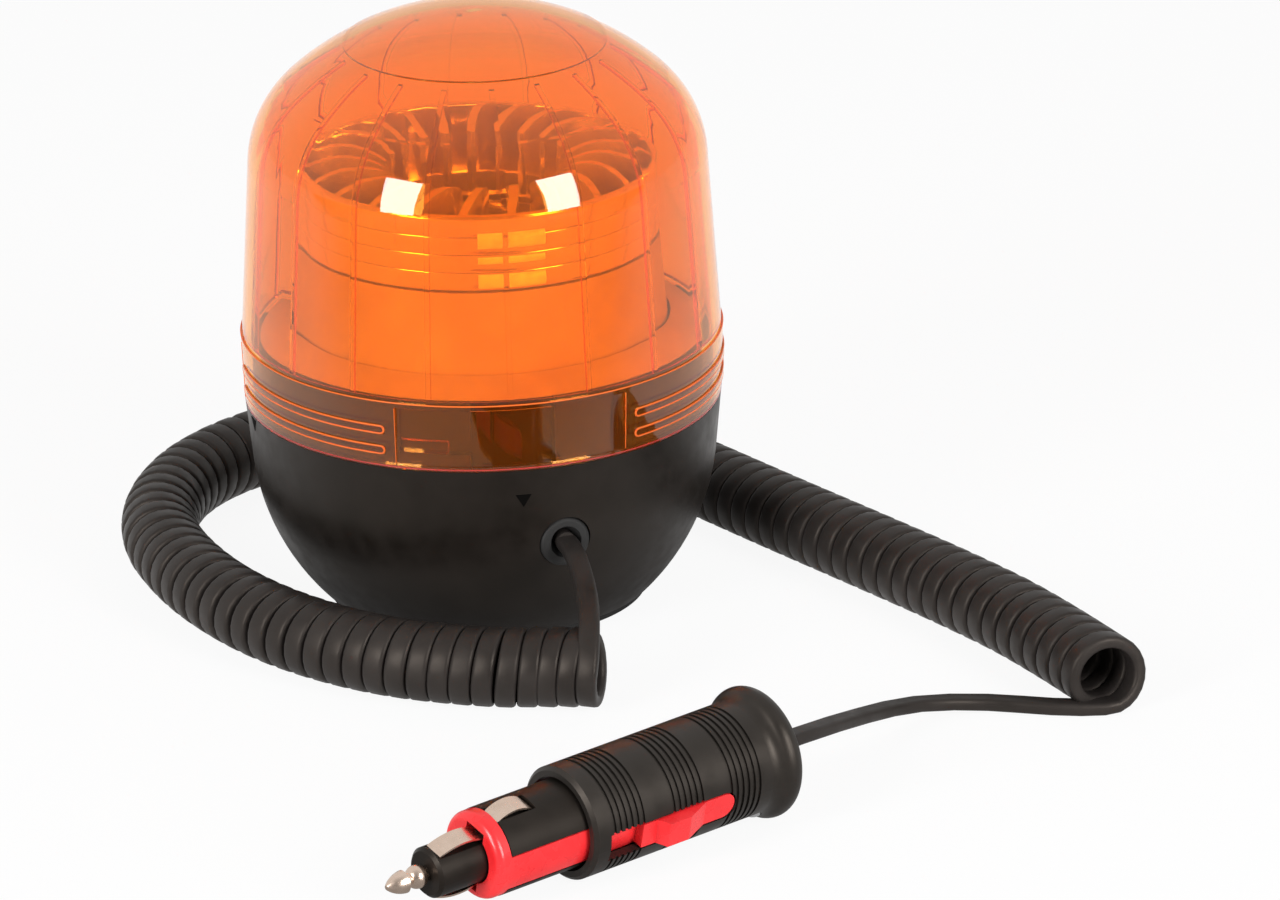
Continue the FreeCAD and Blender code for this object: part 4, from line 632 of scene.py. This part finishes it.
# %% Finishes of the inside
GLASS_DRIFT = 10 * MM
moulded("white_plastic", (0.36, 0.345, 0.33), (0.41, 0.395, 0.375), gloss=(0.35, 0.5),
        grain=(0.4 * MM, 0.004 * MM))
moulded("grey_plastic", (0.22, 0.22, 0.23), (0.30, 0.30, 0.31), gloss=(0.45, 0.6),
        grain=(0.4 * MM, 0.006 * MM))
moulded("gear_nylon", (0.76, 0.73, 0.64), (0.84, 0.81, 0.74), gloss=(0.4, 0.55), grain=(0.4 * MM, 0.003 * MM))
moulded("metallised_plastic", (0.89, 0.87, 0.85), (0.95, 0.93, 0.91), gloss=(0.10, 0.18),
        grain=(1.5 * MM, 0.002 * MM), metallic=0.85)
metal("motor_can", (0.50, 0.50, 0.50), (0.62, 0.62, 0.62), gloss=(0.25, 0.4), grain=(0.6 * MM, 0.003 * MM))
metal("brass_sheet", (0.66, 0.46, 0.18), (0.80, 0.60, 0.28), gloss=(0.2, 0.36), grain=(0.6 * MM, 0.003 * MM))
metal("tungsten", (0.32, 0.32, 0.34), (0.45, 0.45, 0.47), gloss=(0.3, 0.5), grain=(0.2 * MM, 0.003 * MM))
moulded("ferrite", (0.045, 0.045, 0.048), (0.07, 0.07, 0.075), gloss=(0.55, 0.75),
        grain=(0.3 * MM, 0.02 * MM))
moulded("insulator", (0.22, 0.09, 0.045), (0.30, 0.14, 0.07), gloss=(0.4, 0.6), grain=(0.5 * MM, 0.006 * MM))
moulded("board_laminate", (0.03, 0.15, 0.05), (0.05, 0.20, 0.08), gloss=(0.25, 0.4),
        grain=(0.5 * MM, 0.004 * MM))
moulded("wire_sheath", (0.24, 0.02, 0.015), (0.32, 0.035, 0.025), gloss=(0.35, 0.5),
        grain=(0.4 * MM, 0.003 * MM))
glass = Finish("bulb_glass", transmission_weight=1.0, ior=1.5, roughness=0.02)
glass.tone(glass.cloud(GLASS_DRIFT), (0.95, 0.97, 0.96), (0.99, 1.0, 0.99))
glass.let_light_through()
print("finishes:", len(finishes))

# %% [markdown]
# The record says which material slot each node has, and the finishes carry the slots' names, so one loop
# dresses them all. Only the two shells of the plug's handle then take their own, slightly paler black.

# %% Give every solid its finish
PLUG_SHELLS = ("plug_upper_shell", "plug_lower_shell")
for part in frame["record"]["subparts"]:
    mesh = nodes[part["node"]].data
    mesh.materials.clear()
    mesh.materials.append(finishes[part["material_slot"]])
for shell in PLUG_SHELLS:
    nodes[shell].data.materials[0] = finishes["grip_plastic"]

# %% [markdown]
# Now the cord can be swept in its own finish. It takes the place of three plain tubes, which are hidden and
# keep only their weight.

# %% Cord in place
cord = strand_recipe(finishes["cord_sheath"]).run("cord", strand_drawing)
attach(cord, "base")
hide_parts("cord_tail", "cord_curl", "cord_lead")
print("cord:", len(cord.data.vertices), "vertices")

# %% [markdown]
# Clear plastic carries light to its edges, so every edge of the grip band shines as a bright orange line: the
# outlines of the two raised bars in each grip, the ends of the flat panels between the grips, the band's top
# and, redder, the dome's lower edge. The band flares a little towards its top. A place on it is best given
# as on an unrolled strip, by angle and height, and one function wraps it round.

# %% Places on the grip band
EDGE_RADIUS = 57.3 * MM
BAND_BOTTOM = 50.0 * MM
BAND_TOP = 66.8 * MM
BAND_FLARE = 0.7 * MM
GRIP_COUNT = 3
# Angles round the band, in degrees, counted from the cord's side.
GRIP_FIRST = 47.3
PANEL_FIRST = 107.3
GRIP_SPAN = 57.5
PANEL_SPAN = 57.0
grip_turn = 360.0 / GRIP_COUNT
grip_middles = [math.radians(GRIP_FIRST + grip_turn * i) for i in range(GRIP_COUNT)]
panel_middles = [math.radians(PANEL_FIRST + grip_turn * i) for i in range(GRIP_COUNT)]
grip_half = math.radians(GRIP_SPAN / 2)
panel_half = math.radians(PANEL_SPAN / 2)


def on_band(angle, height, rise):
    """Point on the band, with the angle counted from the cord's side and the rise from its surface."""
    radius = EDGE_RADIUS + BAND_FLARE * (height - BAND_BOTTOM) / (BAND_TOP - BAND_BOTTOM) + rise
    return Vector((radius * math.sin(angle), -radius * math.cos(angle), height))


print("band top radius", round(on_band(0.0, BAND_TOP, 0.0).xy.length, 4))

# %% [markdown]
# With that, the lines are quick to draw: closed outlines with round ends for the bars, short upright lines
# for the panels and two full circles for the rims. Each line also says how full its bead will be.

# %% Lines of the grip band
BAR_LEVELS = (54.5 * MM, 59.65 * MM)
BAR_HALF_HEIGHT = 0.95 * MM
BAR_RISE = 0.2 * MM
BAR_FULLNESS = 1.0
PANEL_LEVELS = (51.4 * MM, 65.4 * MM)
PANEL_FULLNESS = 0.35
LOWER_RIM_LIFT = 0.5 * MM
UPPER_RIM_DROP = 0.05 * MM
RIM_LEVELS = (BAND_BOTTOM + LOWER_RIM_LIFT, BAND_TOP - UPPER_RIM_DROP)
RIM_SINK = 0.15 * MM
RIM_FULLNESS = 0.8
LONG_POINTS = 24
END_POINTS = 6
RIM_POINTS = 144


def bar_outline(middle, level):
    """Closed outline of one raised bar: two long sides and two round ends."""
    turn = BAR_HALF_HEIGHT / EDGE_RADIUS
    reach = grip_half - turn
    outline = []
    for side in (1, -1):
        for i in range(LONG_POINTS):
            along = side * reach * (1 - 2 * i / LONG_POINTS)
            outline.append(on_band(middle - along, level + side * BAR_HALF_HEIGHT, BAR_RISE))
        for i in range(END_POINTS):
            round_end = math.pi * i / END_POINTS
            along = side * (-reach - turn * math.sin(round_end))
            height = level + side * BAR_HALF_HEIGHT * math.cos(round_end)
            outline.append(on_band(middle - along, height, BAR_RISE))
    return outline


def drawn_lines(name, lines):
    """Drawing of several lines: the points of each, whether it closes on itself, and how full its bead is."""
    points = []
    edges = []
    fullness = []
    for line, closed, full in lines:
        first = len(points)
        points += line
        fullness += [full] * len(line)
        edges += row_of_edges(first, len(line))
        if closed:
            edges.append((len(points) - 1, first))
    return drawing(name, points, edges, fullness=fullness)


band_lines = []
for middle in grip_middles:
    band_lines += [(bar_outline(middle, level), True, BAR_FULLNESS) for level in BAR_LEVELS]
for middle in panel_middles:
    for end in (middle - panel_half, middle + panel_half):
        band_lines.append(([on_band(end, level, 0.0) for level in PANEL_LEVELS], False, PANEL_FULLNESS))
for level in RIM_LEVELS:
    rim = [on_band(2 * math.pi * i / RIM_POINTS, level, -RIM_SINK) for i in range(RIM_POINTS)]
    band_lines.append((rim, True, RIM_FULLNESS))
print("band lines:", len(band_lines))

# %% [markdown]
# A glowing material would shine in the dark too, which real edges don't. So the lines are thin round beads of
# a plain bright orange, a painted highlight that stands in for that light, redder at the lowest rim. The
# recipe lays a bead along every line, and all beads are one piece that turns with the dome.

# %% Painted glow on the edges of the grip band
BEAD = 0.24 * MM
BEAD_SIDES = 8
SHINE_CLOUD = 2 * MM
# Painted highlight colours of the glowing edges: red at the lowest rim, orange above it.
PAINTED_GLOW_RED = (0.36, 0.038, 0.036)
PAINTED_GLOW_ORANGE = (0.72, 0.14, 0.018)
SHINE_GLOSS = (0.3, 0.45)
shine = Finish("painted_edge_glow", specular_ior_level=0.25)
height = add_node(shine.tree, "ShaderNodeSeparateXYZ", {0: shine.place}, "Z")
above_rim = ramp(shine.tree, height, RIM_LEVELS[0] + BEAD, PANEL_LEVELS[0] + BEAD, 0.0, 1.0)
shine.tone(above_rim, PAINTED_GLOW_RED, PAINTED_GLOW_ORANGE)
shine.gloss(shine.cloud(SHINE_CLOUD), *SHINE_GLOSS)
bead = Recipe("bright_bead", radius=BEAD, finish=finishes["painted_edge_glow"])
line = bead.step("GeometryNodeMeshToCurve", {"Mesh": bead.given["Drawing"]})
section = bead.step("GeometryNodeCurvePrimitiveCircle",
                    {"Resolution": BEAD_SIDES, "Radius": bead.given["radius"]})
bead.end(bead.step("GeometryNodeCurveToMesh", {
    "Curve": line, "Profile Curve": section, "Scale": bead.mark("fullness", "FLOAT"), "Fill Caps": True}))
edges = bead.run("painted_band_glow", drawn_lines("band_lines", band_lines))
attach(edges, "dome")
print("band edges:", len(edges.data.polygons), "faces")

# %% [markdown]
# The pale cover of the drive ends in a sloping brim that laps over the bowl's black collar, so the orange
# runs down to the band and only a thin dark line is left beside the dome's wall. It is a low wedge swept
# round a circle, high at the drum, so that no hard corner shows where they meet. On a circle swept this way
# a section's first axis points outwards and its second one down, so the wedge's heights are negative.

# %% Brim of the drive cover
HOOP_SIDES = 160
BRIM_INNER = 45.3 * MM
BRIM_OUTER = 53.2 * MM
BRIM_RISE = 3.5 * MM
BRIM_EDGE = 0.25 * MM
BRIM_SINK = 0.05 * MM
BRIM_LEVEL = BAND_TOP - BRIM_SINK
WEDGE_CORNERS = (("inwards", "rise"), ("outwards", "edge"), ("outwards", None), ("inwards", None))


def hoop(recipe):
    """Level circle of the recipe's radius, with upright sections."""
    circle = recipe.step("GeometryNodeCurvePrimitiveCircle",
                         {"Resolution": HOOP_SIDES, "Radius": recipe.given["radius"]})
    return recipe.step("GeometryNodeSetCurveNormal", {"Curve": circle}, mode="Z_UP")


def on_points(recipe, shape, **feeds):
    """The shape, set on each point of the drawing."""
    points = recipe.step("GeometryNodeMeshToPoints", {"Mesh": recipe.given["Drawing"]})
    return recipe.step("GeometryNodeInstanceOnPoints", {"Points": points, "Instance": shape, **feeds})


brim_half = (BRIM_OUTER - BRIM_INNER) / 2
brim = Recipe("cover_brim", radius=(BRIM_INNER + BRIM_OUTER) / 2, inwards=-brim_half, outwards=brim_half,
              rise=-BRIM_RISE, edge=-BRIM_EDGE, finish=finishes["white_plastic"])
corners = {}
for number, (side, top) in enumerate(WEDGE_CORNERS, start=1):
    height = brim.given[top] if top else 0.0
    corners[f"Point {number}"] = brim.step("ShaderNodeCombineXYZ", {"X": brim.given[side], "Y": height})
wedge = brim.step("GeometryNodeCurvePrimitiveQuadrilateral", corners, mode="POINTS")
ring = brim.step("GeometryNodeCurveToMesh", {"Curve": hoop(brim), "Profile Curve": wedge})
brim.end(on_points(brim, ring), smooth=False)
brim_piece = brim.run("cover_brim", drawing("brim_seat", [UP * BRIM_LEVEL]))
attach(brim_piece, "base")
crest = max((v.co for v in brim_piece.data.vertices), key=lambda place: place.z)
print("brim:", [round(size, 4) for size in brim_piece.dimensions], "crest radius", round(crest.xy.length, 4))

# %% [markdown]
# The rim of the vane wheel isn't a plain cylinder. Shallow round flutes run round it, and each one mirrors
# the soft boxes as a short bright streak, one above the other. A bump in the finish would vanish at the
# outline, so they are shapes. A recipe makes one flute, a ring with a flat oval section that bulges out of
# the rim, and sets it on a point at each level.

# %% Flutes of the vane wheel
OVAL_SIDES = 24
RIM_RADIUS = 42.8 * MM
FLUTE_FIRST = 92.9 * MM
FLUTE_PITCH = 4.4 * MM
FLUTE_COUNT = 4
FLUTE_DEPTH = 0.15 * MM


def oval(recipe):
    """Flat oval section of the recipe's depth and half height."""
    circle = recipe.step("GeometryNodeCurvePrimitiveCircle", {"Resolution": OVAL_SIDES, "Radius": 1.0})
    size = recipe.step("ShaderNodeCombineXYZ", {
        "X": recipe.given["depth"], "Y": recipe.given["half_height"], "Z": 1.0})
    return recipe.step("GeometryNodeTransform", {"Geometry": circle, "Scale": size})


flute = Recipe("rim_flutes", radius=RIM_RADIUS, depth=FLUTE_DEPTH, half_height=FLUTE_PITCH / 2,
               finish=finishes["metallised_plastic"])
ring = flute.step("GeometryNodeCurveToMesh", {"Curve": hoop(flute), "Profile Curve": oval(flute)})
flute.end(on_points(flute, ring))
levels = [UP * (FLUTE_FIRST + FLUTE_PITCH * i) for i in range(FLUTE_COUNT)]
flutes = flute.run("wheel_flutes", drawing("flute_levels", levels))
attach(flutes, "rotor")
print("flutes:", len(flutes.data.polygons), "faces")

# %% [markdown]
# Three rows of short pale bars lie one above the other on the wheel's rim. They are painted highlights: their
# near-white stands in for the lamps' reflections and looks yellow behind the amber dome. Each bar is a short
# arc on the rim, and the recipe sweeps a rounded bar along it. One flat pane with a printed pattern would be
# quicker, but it would stay flat when the wheel turns.

# %% Painted highlights on the rim of the vane wheel
HIGHLIGHT_ROWS = ((92.8 * MM, 0.9), (98.0 * MM, 0.45), (102.9 * MM, 1.0))
HIGHLIGHT_SPANS = ((math.radians(-20.4), math.radians(-12.9)), (math.radians(-10.5), math.radians(0.9)))
HIGHLIGHT_DEPTH = 0.9 * MM
HIGHLIGHT_HALF_HEIGHT = 2.0 * MM
HIGHLIGHT_POINTS = 10
HIGHLIGHT_DRIFT = 3 * MM
arcs = []
for level, fullness in HIGHLIGHT_ROWS:
    for first, last in HIGHLIGHT_SPANS:
        angles = [first + (last - first) * i / HIGHLIGHT_POINTS for i in range(HIGHLIGHT_POINTS + 1)]
        arcs.append(([towards(angle) * RIM_RADIUS + UP * level for angle in angles], False, fullness))
# Near-white painted highlight that stands in for reflections of the lamps on the rim.
moulded("painted_rim_highlight", (0.80, 0.76, 0.66), (0.98, 0.97, 0.90), gloss=(0.15, 0.25),
        grain=(1.0 * MM, 0.002 * MM), drift=HIGHLIGHT_DRIFT)
bar = Recipe("highlight_bars", depth=HIGHLIGHT_DEPTH, half_height=HIGHLIGHT_HALF_HEIGHT, finish=finishes["painted_rim_highlight"])
arc = bar.step("GeometryNodeMeshToCurve", {"Mesh": bar.given["Drawing"]})
arc = bar.step("GeometryNodeSetCurveNormal", {"Curve": arc}, mode="Z_UP")
bar.end(bar.step("GeometryNodeCurveToMesh", {
    "Curve": arc, "Profile Curve": oval(bar), "Scale": bar.mark("fullness", "FLOAT"), "Fill Caps": True}))
highlight_piece = bar.run("rim_highlights", drawn_lines("highlight_arcs", arcs))
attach(highlight_piece, "rotor")
# The bars counted here are the painted highlights on the rim.
print("lens steps:", len(arcs), "bars,", len(highlight_piece.data.polygons), "faces")

# %% [markdown]
# Two small triangles on the bowl, one close under the dome, show where its lock closes. They are sunk and lie
# in their own shade. The bowl is a solid that is not cut here, so each is a thin matt plate with three
# corners whose near-black is painted shade, set on a point of the bowl and turned to its surface, one corner
# down.

# %% Lock marks on the bowl
MARK_PLACES = ((math.radians(-10.7), 42.6 * MM), (math.radians(-94.2), 48.3 * MM))
MARK_CORNERS = 3
MARK_RADIUS = 2.15 * MM
MARK_HEIGHT = 0.2 * MM
MARK_POINTS_TO = (0.0, 0.0, -1.0)
BOWL_SLOPE = 0.1
places = []
facings = []
for angle, level in MARK_PLACES:
    wall = EDGE_RADIUS - BOWL_SLOPE * (BAND_BOTTOM - level)
    places.append(towards(angle) * wall + UP * level)
    facings.append(towards(angle, -math.atan(BOWL_SLOPE)))
# Painted shade of the sunk triangles, darker than the bowl.
moulded("mark_shade", (0.0014, 0.0011, 0.0009), (0.0022, 0.0018, 0.0015), gloss=(0.7, 0.8),
        grain=(0.3 * MM, 0.004 * MM), specular_ior_level=0.05)
mark = Recipe("lock_mark", radius=MARK_RADIUS, height=MARK_HEIGHT, finish=finishes["mark_shade"])
prism = mark.step("GeometryNodeMeshCylinder", {
    "Vertices": MARK_CORNERS, "Radius": mark.given["radius"], "Depth": mark.given["height"]})
upright = mark.step("FunctionNodeAlignRotationToVector", {"Vector": mark.mark("facing")}, axis="Z")
upright = mark.step("FunctionNodeAlignRotationToVector", {"Rotation": upright, "Vector": MARK_POINTS_TO},
                    axis="X", pivot_axis="Z")
mark.end(on_points(mark, prism, Rotation=upright), smooth=False)
marks = mark.run("lock_marks", drawing("mark_places", places, facing=facings))
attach(marks, "base")
print("marks:", len(marks.data.polygons), "faces at", [round(v, 4) for v in places[0]])
